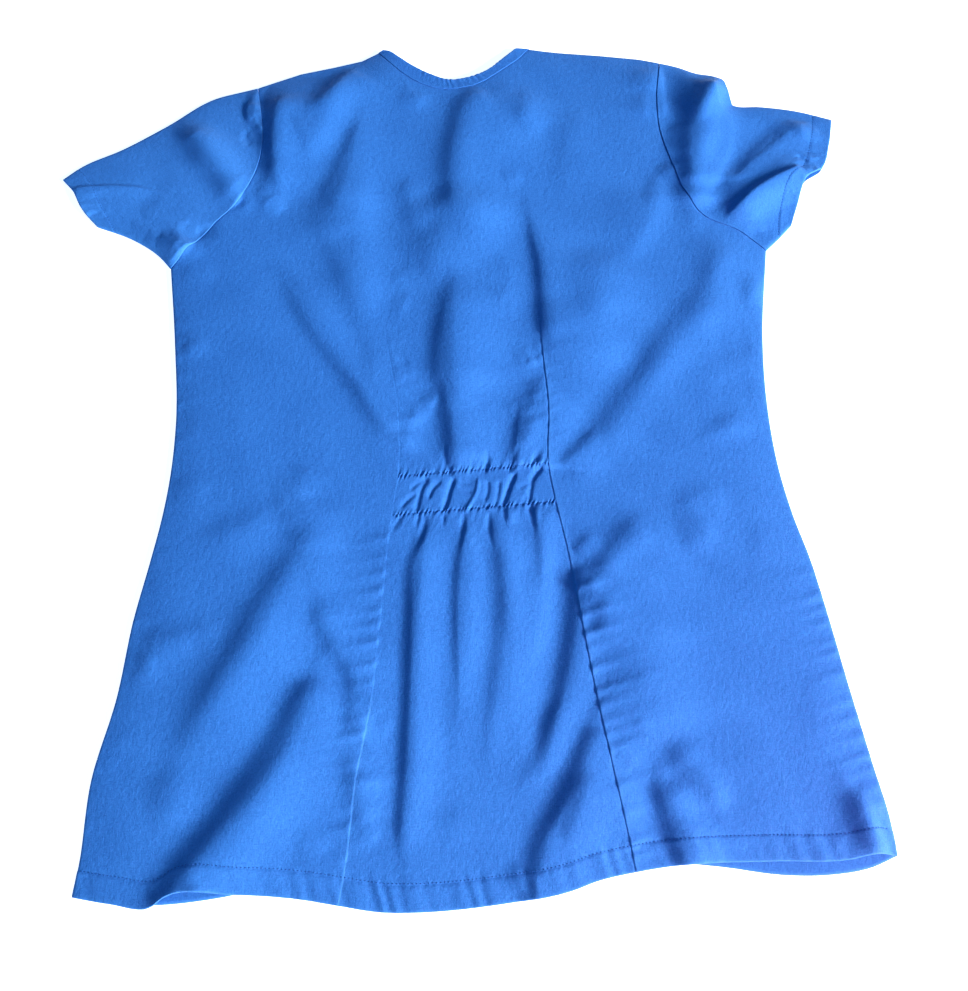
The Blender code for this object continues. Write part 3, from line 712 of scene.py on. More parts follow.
# Closed wall between a fine outer face and an inner one with half its rows and columns:
# each rim face joins three fine points to two coarse ones.
def addShell(name, outer, inner, material, chart, wearAndHighlight, ring=False):
    fine = np.arange(outer.shape[0] * outer.shape[1]).reshape(outer.shape[:2])
    coarse = fine.size + np.arange(inner.shape[0] * inner.shape[1]).reshape(inner.shape[:2])
    rims = [np.stack([low[:-1], low[1:], high[2::2], high[1::2], high[:-2:2]], axis=-1)
            for high, low in zip(sidesOf(fine, ring), sidesOf(coarse, ring))]
    faces = [gridFaces(fine, ring), gridFaces(coarse, ring)[:, ::-1], np.vstack(rims)]
    points = np.vstack([outer.reshape(-1, 3), inner.reshape(-1, 3)])
    charts = np.vstack([chart.reshape(-1, 2), chart[::2, ::2].reshape(-1, 2)])
    wearAndHighlightAmount = np.concatenate([wearAndHighlight.ravel(), wearAndHighlight[::2, ::2].ravel()])
    return addObject(name, points, faces, material, charts, wearAndHighlightAmount)


# A plan's places, each with its height.
def lifted(plan, height):
    return np.dstack([plan, height])


# Uneven ripple of height 1: a sine whose phase and strength wander.
def ripple(travel, spacing):
    turn = 2 * math.pi * travel / spacing
    wander = 1.1 * np.sin(turn / 3.7) + 0.8 * np.sin(turn / 2.3 + 1)
    return np.sin(turn + wander) * (0.65 + 0.35 * np.sin(turn / 5.3 + 2))


# materials

# One output of a node. Sums, products and powers of wires add Math nodes.
class Wire:
    def __init__(self, tree, socket=None):
        self.tree = tree
        self.socket = socket

    # Adds a node: its settings first, then values or wires into its sockets.
    def node(self, kind, settings=None, sockets=None, output=0):
        made = self.tree.nodes.new(kind)
        for key, value in (settings or {}).items():
            setattr(made, key, value)
        for key, value in (sockets or {}).items():
            if isinstance(value, Wire):
                self.tree.links.new(value.socket, made.inputs[key])
            else:
                made.inputs[key].default_value = value
        return Wire(self.tree, made.outputs[output])

    def maths(self, operation, *values):
        return self.node("ShaderNodeMath", {"operation": operation}, dict(enumerate(values)))

    def __add__(self, other):
        return self.maths("ADD", self, other)

    def __sub__(self, other):
        return self.maths("SUBTRACT", self, other)

    def __rsub__(self, other):
        return self.maths("SUBTRACT", other, self)

    def __mul__(self, other):
        return self.maths("MULTIPLY", self, other)

    __radd__ = __add__
    __rmul__ = __mul__

    def wave(self):
        return self.maths("SINE", self)

    def between(self, low, high):
        return self.maths("MINIMUM", self.maths("MAXIMUM", self, low), high)


# Twill: diagonal lines of threads, sin(2 pi (u + v) / pitch), over slubs along both
# threads and broad mottling; seams and turned edges are paler by an attribute that is
# partly wear and partly painted highlight where their edges catch the light.
def clothMaterial(name, look):
    material = bpy.data.materials.new(name)
    material.use_nodes = True
    tree = material.node_tree
    shader = tree.nodes["Principled BSDF"]
    paint = Wire(tree)
    chart = paint.node("ShaderNodeUVMap", {"uv_map": "chart"})
    parts = chart.node("ShaderNodeSeparateXYZ", None, {0: chart})
    u, v = parts, Wire(tree, parts.socket.node.outputs[1])

    def grain(scaleU, scaleV, detail):
        spot = paint.node("ShaderNodeCombineXYZ", None, {0: u * scaleU, 1: v * scaleV})
        return paint.node("ShaderNodeTexNoise", {"noise_dimensions": "2D"},
                          {"Vector": spot, "Scale": 1.0, "Detail": detail, "Roughness": 0.6})

    turn = 2 * math.pi / (look["pitch"] * mm)
    nap = grain(1 / (look["nap"] * mm), weave["alongNap"] / (look["nap"] * mm), 2.0)
    warp = grain(1 / (look["slub"] * mm), weave["alongThread"] / (look["slub"] * mm), 2.0)
    weft = grain(weave["alongThread"] / (look["slub"] * mm), 1 / (look["slub"] * mm), 2.0)
    speckle = grain(1 / (look["speckle"] * mm), 1 / (look["speckle"] * mm), 3.0)
    mottle = grain(1 / (look["mottle"] * mm), 1 / (look["mottle"] * mm), 3.0)
    twill = ((u + v) * turn + weave["speckleBend"] * speckle + weave["weftBend"] * weft).wave()
    # paler where this attribute is high: edge wear, and painted highlight along seam edges that
    # catch the light
    wearAndHighlight = paint.node("ShaderNodeAttribute", {"attribute_name": "wearAndHighlight"}, None, "Fac")

    shade = (0.5 + look["slubShare"] * (warp + weft - 1.0) + look["speckleShare"] * (speckle - 0.5)
             + look["mottleShare"] * (mottle - 0.5) + look["napShare"] * (nap - 0.5)
             + look["threadShare"] * twill)
    cloth = paint.node("ShaderNodeMix", {"data_type": "RGBA"},
                       {"Factor": shade.between(0.0, 1.0), 6: look["dark"], 7: look["light"]}, 2)
    colour = paint.node("ShaderNodeMix", {"data_type": "RGBA"},
                        {"Factor": (wearAndHighlight * look["wearAndHighlightAmount"]).between(0.0, 1.0), 6: cloth,
                         7: look["pale"]}, 2)
    tree.links.new(colour.socket, shader.inputs["Base Color"])
    roughness = (look["roughness"] + weave["roughMottle"] * (mottle - 0.5)
                 + weave["roughWarp"] * (warp - 0.5))
    tree.links.new(roughness.socket, shader.inputs["Roughness"])
    relief = (weave["twillHeight"] * twill + weave["slubHeight"] * (warp + weft)
              + weave["speckleHeight"] * speckle + look["napHeight"] * nap)
    bump = paint.node("ShaderNodeBump", None, {"Height": relief, "Strength": look["bump"],
                                               "Distance": weave["bumpDistance"]})
    tree.links.new(bump.socket, shader.inputs["Normal"])
    for socket, value in dict(clothFinish, **{"Sheen Weight": look["sheen"]}).items():
        shader.inputs[socket].default_value = value
    return material


# how the noises are stretched along their threads, and how they bend the twill's lines and
# feed the roughness and the bump
weave = {"alongThread": 0.22, "alongNap": 0.8, "speckleBend": 14, "weftBend": 6,
         "roughMottle": 0.12, "roughWarp": 0.05,
         "twillHeight": 0.5, "slubHeight": 1.4, "speckleHeight": 2.0, "bumpDistance": 0.00012}
clothFinish = {"Sheen Roughness": 0.45, "Sheen Tint": (0.62, 0.78, 1.0, 1.0),
               "Specular IOR Level": 0.25}
clothLook = {
    "dark": (0.028, 0.150, 0.465, 1.0), "light": (0.052, 0.232, 0.635, 1.0),
    # pale and the share after it: the colour mixed in where edges and seams are paled, for wear and
    # as painted highlight
    "pale": (0.120, 0.380, 0.850, 1.0), "wearAndHighlightAmount": 0.2,
    "pitch": 0.62, "slub": 0.9, "speckle": 1.1, "nap": 4.0, "mottle": 34.0,
    "slubShare": 0.7, "speckleShare": 1.0, "napShare": 0.3, "mottleShare": 0.45,
    "threadShare": 0.03, "napHeight": 5.0,
    "roughness": 0.75, "bump": 0.6, "sheen": 0.12,
}
# The stitching thread is the cloth's own blue, painted darker: painted shade for the shadows in the
# holes between stitches.
shadedThreadLook = {
    "dark": (0.015, 0.095, 0.330, 1.0), "light": (0.024, 0.135, 0.420, 1.0),
    "pale": (0.150, 0.400, 0.900, 1.0), "wearAndHighlightAmount": 0.0,
    "pitch": 0.3, "slub": 0.4, "speckle": 0.5, "nap": 2.0, "mottle": 20.0,
    "slubShare": 0.3, "speckleShare": 0.5, "napShare": 0.0, "mottleShare": 0.5,
    "threadShare": 0.2, "napHeight": 0.0,
    "roughness": 0.6, "bump": 0.3, "sheen": 0.1,
}
bodyCloth = clothMaterial("blue_twill", clothLook)
bandCloth = clothMaterial("blue_twill_doubled", dict(clothLook, dark=(0.024, 0.142, 0.480, 1.0)))
shadedThreadCloth = clothMaterial("blue_thread_painted_shade", shadedThreadLook)
# A lighter copy of the same cloth for the left sleeve: painted light on that sleeve.
paintedLightCloth = clothMaterial("blue_twill_painted_light", dict(clothLook, dark=(0.033, 0.168, 0.500, 1.0),
                                                      light=(0.062, 0.262, 0.700, 1.0)))


# stitches

# Points and upright directions of a grid read between its rows and columns.
def readGrid(grid, rows, columns):
    row = np.clip(np.floor(rows).astype(int), 0, grid.shape[0] - 2)
    column = np.clip(np.floor(columns).astype(int), 0, grid.shape[1] - 2)
    up, across = (rows - row)[:, None], (columns - column)[:, None]
    a, b = grid[row, column], grid[row, column + 1]
    c, d = grid[row + 1, column], grid[row + 1, column + 1]
    places = (1 - up) * ((1 - across) * a + across * b) + up * ((1 - across) * c + across * d)
    upright = np.cross(b - a, c - a)
    upright /= np.linalg.norm(upright, axis=1, keepdims=True)
    return places, upright * np.sign(upright[:, 2:])


# Row of stitches along a line on a surface: each is a spindle, ring by ring a circle about
# an axis that arches out of the cloth and back into it.
stitch = {"length": 1.4, "pitch": 2.7, "waistPitch": 2.3, "radius": 0.32, "arch": 0.2,
          "sunk": 0.15, "sides": 6,
          "shares": (0.0, 0.15, 0.5, 0.85, 1.0), "swelling": (0.35, 0.85, 1.0, 0.85, 0.35),
          "hemReads": 900, "waistReads": 500, "sleeveReads": 300}   # places read along a row


def stitchRow(places, upright, pitch=None):
    reach = np.concatenate([[0.0], np.cumsum(np.linalg.norm(np.diff(places, axis=0), axis=1))])
    pitch = pitch or stitch["pitch"]
    starts = np.arange(pitch / 2, reach[-1] - pitch, pitch)
    shares, swelling = np.array(stitch["shares"]), np.array(stitch["swelling"])
    spots = starts[:, None] + shares * stitch["length"] * pitch / stitch["pitch"]

    def read(values):
        return np.stack([np.interp(spots, reach, values[:, axis]) for axis in range(3)], -1)

    axis, normal = read(places), read(upright)
    along = axis[:, -1:] - axis[:, :1]
    along /= np.linalg.norm(along, axis=2, keepdims=True)
    side = np.cross(normal, along)
    lift = (stitch["arch"] * np.sin(math.pi * shares)
            - stitch["sunk"] * np.cos(math.pi * shares) ** 2)
    axis = axis + normal * lift[None, :, None]
    turns = 2 * math.pi * np.arange(stitch["sides"]) / stitch["sides"]
    around = (np.cos(turns)[:, None] * side[:, :, None]
              + np.sin(turns)[:, None] * normal[:, :, None])
    return axis[:, :, None] + around * (stitch["radius"] * swelling)[None, :, None, None]


# Joins rows of stitches into one object: four-cornered faces round each, a cap at each end.
def addStitches(name, rows):
    rings = np.concatenate(rows)
    count, length, sides = rings.shape[:3]
    numbers = np.arange(count * length * sides).reshape(count, length, sides)
    after = np.roll(numbers, -1, axis=2)
    quads = np.stack([numbers[:, :-1], after[:, :-1], after[:, 1:], numbers[:, 1:]], -1)
    caps = np.vstack([numbers[:, 0, ::-1], numbers[:, -1]])
    points = rings.reshape(-1, 3)
    # in the darker thread colour: painted shade of the holes between stitches
    made = addObject(name, points, [quads.reshape(-1, 4), caps], shadedThreadCloth,
                     points[:, :2], np.zeros(len(points)), 1.2)
    return made


# the front, flat on the floor

# its unevenness is read elsewhere on the broad waves, stretched and shifted
front = {"lift": 0.8, "stretch": (1.0, 1.3), "shift": 400.0, "uneven": 4, "settled": 0.6,
         "roll": 0.9, "underShare": 0.8, "wearAndHighlightReach": 1.6}
frontShares = np.linspace(0.0, 1.0, body["frontColumns"] + 1)
frontLines = [bodyLine(column, frontRows) for column in range(4)]
frontPlans = [panelGrid(left, right, frontShares, body["frontHem"], body["frontTop"], frontRows,
                        body["frontSteps"])
              for left, right in zip(frontLines, frontLines[1:])]
frontPlan = np.concatenate([frontPlans[0]] + [plan[:, 1:] for plan in frontPlans[1:]], axis=1)
frontNeck = frontPlans[1][-1]


# Distance of each point of a plan from its left, right, lower and upper edge.
def edgeDistances(plan):
    return (np.hypot(*np.moveaxis(plan - plan[:, :1], -1, 0)),
            np.hypot(*np.moveaxis(plan - plan[:, -1:], -1, 0)),
            np.hypot(*np.moveaxis(plan - plan[:1], -1, 0)),
            np.hypot(*np.moveaxis(plan - plan[-1:], -1, 0)))


# Paleness of 1 at the nearest edge, dying out as exp(-distance / reach): edge wear and painted
# highlight.
def wearAndHighlightEdges(distances, reach):
    return np.max([np.exp(-distance / reach) for distance in distances], axis=0)


frontEdges = edgeDistances(frontPlan)
frontInward = 1 - np.exp(-np.min(frontEdges, axis=0) / lay["loftReach"])
frontSwell = swellHeight(frontPlan * front["stretch"] + front["shift"]) * front["uneven"]
frontLift = front["lift"] * frontInward * (1 + frontSwell)
frontLift = np.maximum(frontLift - front["lift"] * front["settled"], 0.0)
frontTopFace = lay["cloth"] + frontLift - rolled(np.min(frontEdges, axis=0), front["roll"])
# its edges are paler: wear and painted highlight
frontShell = addShell("front_cloth", lifted(frontPlan, frontTopFace),
                      lifted(frontPlan, frontLift * front["underShare"])[::2, ::2], bodyCloth,
                      frontPlan, wearAndHighlightEdges(frontEdges, front["wearAndHighlightReach"]))
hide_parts("front")


# the back, lofted over the front

back = {
    # the left and the right dart: how much its seam allowance lifts the side panel, the
    # radius of the step down to the centre, and the depth of the dip beyond it
    "darts": ((0.14, 0.2, 0.1), (0.3, 0.5, 0.2)),
    # share of the left dart's step at heights along it
    "leftDart": ((-350, 1.0), (-225, 1.0), (-205, 0.3), (-80, 0.3), (-50, 0.7), (80, 0.5)),
    "seamReach": 8.0, "dipReach": 0.9,
    "dartFade": (-30, 6),       # the step dies out between these heights about the dart's tip
    "hemRise": 0.35, "hemGroove": 0.2, "hemRipple": 0.5,
    "armholeDip": 0.3, "neckDip": 0.2,
    "ruffle": 0.72, "ruffleSpacing": 3.1, "rowGroove": 0.3, "gather": 0.45,
    "slant": 0.5, "ruffleReach": 2.2, "grooveReach": 0.8,
    "gatherShift": 3, "gatherSpacing": 7.0, "gatherReach": 6.0,
    # reaches of the paler colour at the hem and the sides (wear and painted highlight) and beside
    # the darts (painted highlight where the seam edges catch the light), then the heights where the
    # darts' pale lines end
    "hemSlant": 0.3, "hemWearAndHighlightReach": 1.5, "sideWearAndHighlightReach": 2.0, "dartHighlightReach": 0.9,
    "leftDartHighlightEnd": (-225, -205), "rightDartHighlightEnd": (60, 84),
    # near its line a pucker is lower by puckerFoot, and this share of it goes on beyond
    "puckerFoot": 0.8, "puckerFootReach": 1.6, "beyondShare": 0.2, "beyondReach": 0.9,
    # ripples that run off an edge or a dart: which line, side of it, reach, lean, width
    # and height, then where they lie along it
    "puckers": (
        (1, -1, 12, -0.2, 2.6, ((-320, 0.9), (-301, 1.8), (-289, 0.7), (-267, 0.5), (-259, 0.9),
                                (-249, 0.6), (-239, 1.8), (-227, 0.8), (-203, 0.9), (-190, 1.4),
                                (-174, 1.7), (-161, 1.4), (-151, 1.1), (-136, 1.6), (-123, 1.3),
                                (-111, 0.5), (-96, 1.4))),
        (2, 1, 14, 0.3, 2.6, ((-320, 1.1), (-311, 1.2), (-292, 1.4), (-274, 1.5), (-266, 0.4),
                              (-250, 1.0), (-240, 1.3), (-232, 1.0), (-220, 1.5), (-210, 1.8),
                              (-194, 1.9), (-180, 1.0), (-170, 2.0), (-156, 2.0), (-148, 0.5),
                              (-136, 1.9), (-125, 0.6))),
        (3, -1, 12, -0.3, 2.6, ((-284, 1.3), (-272, 1.0), (-262, 1.1), (-252, 1.5), (-239, 1.5),
                                (-226, 1.4), (-214, 1.1), (-195, 1.3), (-180, 1.4), (-172, 1.0),
                                (-158, 1.2), (-149, 1.0), (-138, 1.5), (-120, 0.9))),
        (2, -1, 12, -0.35, 2.4, ((0, 0.8), (12, 0.7), (21, 0.5), (32, 0.8), (50, 0.9), (61, 0.5))),
        (2, 1, 9, 0.3, 2.2, ((-20, 0.6), (-8, 0.6), (6, 0.5), (16, 0.7), (28, 0.6), (41, 0.5),
                             (55, 0.6), (64, 0.5))),
        (1, 1, 13, 0.3, 2.3, ((22, 0.4), (32, 0.9), (39, 0.8), (46, 0.6), (52, 0.5), (64, 0.5))),
        (0, 1, 10, 0.3, 3.0, ((-20, 0.7), (12, 0.6), (35, 0.8), (52, 0.6), (66, 0.7), (80, 0.6))),
        (0, 1, 9, 0.2, 3.5, ((-330, 0.5), (-300, 0.5), (-262, 0.6), (-225, 0.4), (-190, 0.5),
                             (-160, 0.5))),
    ),
    # share of the hem's ripple at places along it
    "hemStrength": ((-249, 0.5), (-195, 0.3), (-110, 0.4), (-96, 1.3), (-62, 1.3), (-40, 0.8),
                    (60, 0.8), (130, 0.7), (200, 0.6), (245, 1.0), (309, 1.2)),
}
sideShares = edgeShares(body["sideColumns"])
centreShares = edgeShares(body["centreColumns"], 0.25)
backLines = [bodyLine(column, backRows) for column in range(4)]
backPlans = [panelGrid(left, right, shares, body["backHem"], body["backTop"], backRows,
                       body["backSteps"])
             for left, right, shares in zip(backLines, backLines[1:],
                                            (sideShares, centreShares, sideShares))]
backPlan = np.concatenate([backPlans[0]] + [plan[:, 1:] for plan in backPlans[1:]], axis=1)
leftDart = body["sideColumns"]
rightDart = leftDart + body["centreColumns"]
backNeck = backPlans[1][-1]
inCentre = np.zeros(backPlan.shape[1])
inCentre[leftDart:rightDart + 1] = 1.0


# The step at a dart: the side panel stands up along it and rolls down, the centre dips.
def dartHeight(plan):
    total = np.zeros(plan.shape[:2])
    tip = backLines[1][rowOf(body["dartTip"])][1]
    open_ = 1 - fade(plan[..., 1], tip + back["dartFade"][0], tip + back["dartFade"][1])
    heights, shares = zip(*back["leftDart"])
    strength = {leftDart: np.interp(plan[..., 1], heights, shares), rightDart: 1.0}
    for column, outward, (rise, roll, dip) in ((leftDart, -1, back["darts"][0]),
                                               (rightDart, 1, back["darts"][1])):
        aside = (plan[..., 0] - plan[:, column:column + 1, 0]) * outward
        beyond = np.maximum(aside, 0.0)
        raised = rise * np.exp(-beyond / back["seamReach"]) - rolled(beyond, roll)
        within = -dip * np.exp(np.minimum(aside, 0) / back["dipReach"])
        step = np.where(aside > 0, np.maximum(raised, -dip), within)
        total += open_ * strength[column] * step
    return total


# Sum of the puckers: a slanted bell at each place, dying out away from its line.
def puckerHeight(plan):
    total = np.zeros(plan.shape[:2])
    columns = (0, leftDart, rightDart, plan.shape[1] - 1)
    for line, side, reach, lean, width, puckers in back["puckers"]:
        aside = (plan[..., 0] - plan[:, columns[line]:columns[line] + 1, 0]) * side
        foot = 1 - back["puckerFoot"] * np.exp(-aside / back["puckerFootReach"])
        spread = np.where(aside > 0, foot * np.exp(-aside / reach),
                          back["beyondShare"] * np.exp(aside / back["beyondReach"]))
        for place, height in puckers:
            away = (plan[..., 1] - lean * aside - place) / width
            total += height * spread * np.exp(-away ** 2)
    return total


# the fine ripple lies along the groove, the broad one over the band and a little above it
hem = {"edge": 1.2, "grooveWidth": 0.8, "fine": 0.5, "fineSpacing": 7.0, "fineReach": 3.5,
       "broadShift": 31, "broadSpacing": 13.5, "broadFade": (12, 26)}


# The turned hem: a band that stands up to its stitched groove, and the groove's ripple.
def hemHeight(above, travel, shape, strength=1.0):
    width = body["hemWidth"]
    band = shape["hemRise"] * (1 - fade(above, width - hem["edge"], width + hem["edge"]))
    groove = -shape["hemGroove"] * np.exp(-((above - width) / hem["grooveWidth"]) ** 2)
    waves = shape["hemRipple"] * (hem["fine"] * ripple(travel, hem["fineSpacing"])
                                  * np.exp(-np.abs(above - width) / hem["fineReach"])
                                  + ripple(travel + hem["broadShift"], hem["broadSpacing"])
                                  * (1 - fade(above, *hem["broadFade"])))
    return band + groove + strength * waves


# Ruffles along both rows of stitches of the elastic: ticks across each row, a groove on it
# and short puckers out of it.
def waistHeight(plan):
    total = np.zeros(plan.shape[:2])
    for section, outside in ((body["lowerStitch"], -1), (body["upperStitch"], 1)):
        above = plan[..., 1] - plan[rowOf(section):rowOf(section) + 1, :, 1]
        slanted = plan[..., 0] - back["slant"] * above
        total += (back["ruffle"] * ripple(slanted, back["ruffleSpacing"])
                  * np.exp(-(above / back["ruffleReach"]) ** 2))
        total -= back["rowGroove"] * np.exp(-(above / back["grooveReach"]) ** 2)
        out = np.maximum(above * outside, 0.0)
        total += (back["gather"] * ripple(slanted + back["gatherShift"], back["gatherSpacing"])
                  * np.exp(-out / back["gatherReach"]) * (above * outside > 0))
    return total * inCentre


backEdges = edgeDistances(backPlan)
isYoke = (np.arange(backPlan.shape[0]) > rowOf(body["underarm"]))[:, None]
sideEdge = np.minimum(backEdges[0], backEdges[1])
backBase = clothHeight(backPlan)
backDetail = dartHeight(backPlan) + puckerHeight(backPlan) + waistHeight(backPlan)
backDetail += hemHeight(backEdges[2], backPlan[..., 0] + back["hemSlant"] * backEdges[2], back,
                        np.interp(backPlan[..., 0], *zip(*back["hemStrength"])))
backDetail -= rolled(backEdges[2], lay["roll"])
backDetail -= np.where(isYoke, back["armholeDip"] * np.exp(-sideEdge),
                       rolled(sideEdge, lay["roll"]))
backDetail -= np.where(inCentre > 0, back["neckDip"] * np.exp(-backEdges[3]),
                       rolled(backEdges[3], lay["roll"]))
# Paler colour: along the darts a painted highlight where their seam edges catch the light; at the
# hem and the sides wear and painted highlight.
leftAway = backPlan[..., 0] - backPlan[:, leftDart:leftDart + 1, 0]
rightAway = backPlan[..., 0] - backPlan[:, rightDart:rightDart + 1, 0] - 1
leftDartHighlight = np.exp(-np.abs(leftAway) / back["dartHighlightReach"])
rightDartHighlight = np.exp(-np.abs(rightAway) / back["dartHighlightReach"])
backWearAndHighlight = np.max([np.exp(-backEdges[2] / back["hemWearAndHighlightReach"]),
                   np.exp(-sideEdge / back["sideWearAndHighlightReach"]) * ~isYoke,
                   leftDartHighlight * (1 - fade(backPlan[..., 1], *back["leftDartHighlightEnd"])),
                   rightDartHighlight * (1 - fade(backPlan[..., 1], *back["rightDartHighlightEnd"]))], axis=0)
backOuter = lifted(backPlan, backBase + backDetail)
backShell = addShell("back_cloth", backOuter,
                     lifted(backPlan, backBase - lay["cloth"])[::2, ::2], bodyCloth, backPlan,
                     backWearAndHighlight)
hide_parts("back")


# One row of stitches along a row of the back's mesh, between two of its columns.
def backStitches(row, first, last, reads, pitch=None):
    columns = np.linspace(first, last, reads)
    return stitchRow(*readGrid(backOuter, np.full(reads, float(row)), columns), pitch)


hemRows = [backStitches(rowOf(1), 2.0, backPlan.shape[1] - 3.0, stitch["hemReads"])]
hemStitches = addStitches("back_hem_stitches", hemRows)
waistRows = [backStitches(rowOf(section), leftDart + 1.0, rightDart - 1.0, stitch["waistReads"],
                          stitch["waistPitch"])
             for section in (body["lowerStitch"], body["upperStitch"])]
waistStitches = addStitches("waist_stitches", waistRows)


# sleeves: flattened tubes

sleeve = {"seamRise": 0.3, "seamReach": 9.0, "seamRoll": 0.3, "lowest": 2.4,
          "hemRise": 0.3, "hemGroove": 0.25, "hemRipple": 0.12}


# A flattened tube: the upper face follows the cloth's height and the lower one lies flat,
# joined along both folds by a quarter ellipse, sqrt(1 - (1 - distance / inset) squared).
def addSleeve(name, shape, turn, paint):
    up = edgeShares(sleeveShape["rows"])
    out = edgeShares(sleeveShape["columns"])
    plan = sleeveGrid(shape, up, out)
    arm, cuff, low, high = edgeDistances(plan)
    aside = np.minimum(low, high)
    round_ = np.sqrt(1 - (1 - np.clip(aside / sleeveShape["foldInset"], 0, 1)) ** 2)
    base = np.maximum(clothHeight(plan), sleeve["lowest"])
    travel = np.hypot(*np.moveaxis(plan - plan[:1], -1, 0))
    detail = (sleeve["seamRise"] * np.exp(-arm / sleeve["seamReach"])
              - rolled(arm, sleeve["seamRoll"]))
    detail += hemHeight(cuff * body["hemWidth"] / sleeveShape["hemWidth"], travel, sleeve)
    detail -= rolled(cuff, lay["roll"])
    middle = sleeveShape["foldTop"] / 2
    upper = middle + (base + detail - middle) * round_
    lower = middle * (1 - round_) + 0.5 * rolled(np.minimum(arm, cuff), lay["roll"])
    inset = sleeveShape["foldWall"] * (1 - np.clip(aside / sleeveShape["foldInset"], 0, 1))
    step = np.where((low < high)[..., None], plan[1:2] - plan[:1], plan[-2:-1] - plan[-1:])
    step = step / np.linalg.norm(step, axis=-1, keepdims=True)
    within = plan + inset[..., None] * step
    upperIn = middle + (base - lay["cloth"] - middle) * round_
    lowerIn = middle + (lay["cloth"] - middle) * round_
    outer = np.concatenate([lifted(plan, upper), lifted(plan, lower)[-2:0:-1]])
    inner = np.concatenate([lifted(within, upperIn), lifted(within, lowerIn)[-2:0:-1]])
    spin = np.array([[math.cos(turn), -math.sin(turn)], [math.sin(turn), math.cos(turn)]])
    chart = np.concatenate([plan, plan[-2:0:-1]]) @ spin
    # the cuff, the folds and the armhole are paler: wear and painted highlight
    wearAndHighlight = wearAndHighlightEdges([cuff, aside * 0.8, arm + 1.0], 1.5)
    shell = addShell(name + "_cloth", outer, inner[::2, ::2], paint, chart,
                     np.concatenate([wearAndHighlight, wearAndHighlight[-2:0:-1]]), ring=True)
    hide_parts(name)
    # the stitches lie where the cuff is a hem's width away
    rows = np.linspace(3.0, plan.shape[0] - 4.0, stitch["sleeveReads"])
    places = [np.interp(-sleeveShape["hemWidth"], -cuff[row], np.arange(plan.shape[1]))
              for row in rows.astype(int)]
    seams = [stitchRow(*readGrid(lifted(plan, upper), rows, np.array(places)))]
    stitches = addStitches(name + "_stitches", seams)


# the left sleeve is in the lighter copy of the cloth: painted light
addSleeve("sleeve_left", sleeves["sleeve_left"], math.radians(35), paintedLightCloth)
addSleeve("sleeve_right", sleeves["sleeve_right"], math.radians(-20), bodyCloth)


# neckbands, folded double

band = {
    "rise": 0.15, "seamRise": 0.12, "rows": 12,
    "backEdge": ((-61.5, 353.5), (-57, 352.5), (-47, 345), (-37, 337), (-19, 326), (-4, 320),
                 (16, 323), (33, 332), (43, 342), (56, 355)),
    "frontEdge": ((-57, 350), (1, 233), (58, 353)),
    "tick": 0.42, "tickSpacing": 5.2,
    "tickStrength": ((-45, 0.2), (-15, 0.6), (5, 1.0), (36, 1.0), (46, 0.4)),   # across the neck
}


# A band of straight lines from a seam to an edge, lying on a base height, with small ticks
# beside its edge: a ripple times exp(-distance / 7).
def addBand(name, seam, edge, base):
    shares = edgeShares(band["rows"])[:, None, None]
    plan = seam[None] * (1 - shares) + edge[None] * shares
    fromSeam, fromEdge = edgeDistances(plan)[2:]
    ends = np.minimum(*edgeDistances(plan)[:2])
    under = base(plan)
    ticks = band["tick"] * ripple(travelled(seam)[None, :], band["tickSpacing"])
    ticks = ticks * np.exp(-fromEdge / 7.0) * np.interp(plan[..., 0], *zip(*band["tickStrength"]))
    face = (under + band["seamRise"] * np.exp(-fromSeam / 4.0) - rolled(fromSeam, 0.15) + ticks
            - rolled(fromEdge, lay["roll"]) - rolled(ends, 0.6))
    face = np.maximum(face, under - lay["cloth"] + 0.15)    # some cloth is left at the rim
    # the band's edge and its seam are paler: wear and painted highlight on the seam edge that
    # catches the light
    shell = addShell(name + "_cloth", lifted(plan, face),
                     lifted(plan, under - lay["cloth"])[::2, ::2], bandCloth, plan,
                     wearAndHighlightEdges([fromEdge, fromSeam + 1.0], 1.4))
    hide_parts(name)


backSeam = movedAside(backNeck, lay["gap"])
backBandEdge = spacedLine(band["backEdge"], travelled(backSeam) / travelled(backSeam)[-1])
addBand("neckband_back", backSeam, backBandEdge, lambda plan: clothHeight(plan) + band["rise"])
frontSeam = movedAside(frontNeck, lay["gap"])
bandCorners = np.array(band["frontEdge"], float)
frontBandEdge = np.column_stack([np.interp(np.linspace(0.0, 1.0, len(frontSeam)), (0.0, 0.5, 1.0),
                                           bandCorners[:, axis]) for axis in (0, 1)])
addBand("neckband_front", frontSeam, frontBandEdge,
        lambda plan: np.full(plan.shape[:2], lay["cloth"]))


# floor, lights and camera

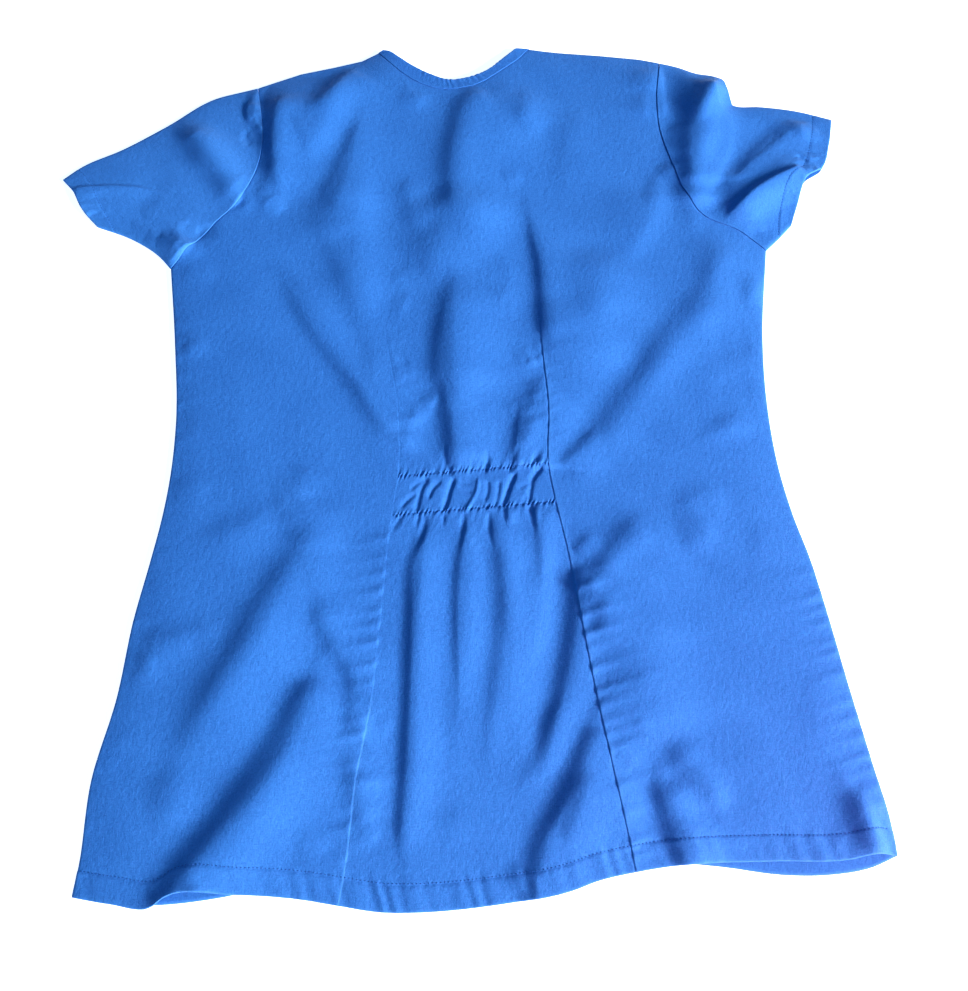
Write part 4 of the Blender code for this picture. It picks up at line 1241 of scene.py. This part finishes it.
# Each light: degrees round from +X, degrees above the floor, distance, size, power and
# colour.
studio = {
    "lights": {
        "window": (-25.0, 21.0, 7.0, 2.0, 1120.0, (1.0, 0.99, 0.98)),
        "ceiling": (150.0, 82.0, 2.6, 2.5, 3.0, (0.95, 0.98, 1.0)),
        "room": (-95.0, 40.0, 0.9, 0.5, 0.75, (1.0, 0.97, 0.96)),
        "glow": (-40.0, 25.0, 0.75, 0.3, 1.6, (1.0, 0.12, 0.3)),
    },
    "air": (0.15, 0.95, 1.7, 1.0),
    "airStrength": 0.155,
    "floor": (0.93, 0.93, 0.94, 1.0),
    "floorGlow": 0.75,
    "floorRoughness": 0.9,
    "floorSize": 6.0,
    "floorDrop": 0.0006,        # just under the cloth, so that the faces don't share a plane
}

for name, (around, above, distance, size, power, colour) in studio["lights"].items():
    lamp = bpy.data.lights.new(name, "AREA")
    lamp.shape = "DISK"
    lamp.size = size
    lamp.energy = power
    lamp.color = colour
    around, above = math.radians(around), math.radians(above)
    place = distance * Vector((math.cos(around) * math.cos(above),
                               math.sin(around) * math.cos(above), math.sin(above)))
    made = bpy.data.objects.new(name, lamp)
    made.location = place
    made.rotation_euler = place.to_track_quat("Z", "Y").to_euler()
    bpy.context.scene.collection.objects.link(made)
world = bpy.data.worlds.new("studio")
bpy.context.scene.world = world
world.use_nodes = True
air = world.node_tree.nodes["Background"]
air.inputs["Color"].default_value = studio["air"]
air.inputs["Strength"].default_value = studio["airStrength"]
bpy.context.scene.view_settings.view_transform = "Standard"
bpy.context.scene.view_settings.look = "Medium High Contrast"

bpy.ops.mesh.primitive_plane_add(size=studio["floorSize"], location=(0, 0, -studio["floorDrop"]))
floor = bpy.context.object
floor.name = "floor"
floorPaint = bpy.data.materials.new("pale_floor")
floorPaint.use_nodes = True
floorShader = floorPaint.node_tree.nodes["Principled BSDF"]
floorShader.inputs["Base Color"].default_value = studio["floor"]
floorShader.inputs["Roughness"].default_value = studio["floorRoughness"]
floorShader.inputs["Emission Color"].default_value = studio["floor"]
floorShader.inputs["Emission Strength"].default_value = studio["floorGlow"]
floor.data.materials.append(floorPaint)


view = {"tilt": 72.0, "distance": 0.755, "aim": (0.028, -0.0615, 0.0), "lens": 36.0, "sensor": 36.0}
camera = bpy.data.cameras.new("camera")
camera.lens = view["lens"]
camera.sensor_width = view["sensor"]
cameraObject = bpy.data.objects.new("camera", camera)
tilt = math.radians(view["tilt"])
cameraObject.location = (view["aim"][0], view["aim"][1] - view["distance"] * math.cos(tilt),
                         view["distance"] * math.sin(tilt))
cameraObject.rotation_euler = (math.pi / 2 - tilt, 0.0, 0.0)
bpy.context.scene.collection.objects.link(cameraObject)
bpy.context.scene.camera = cameraObject
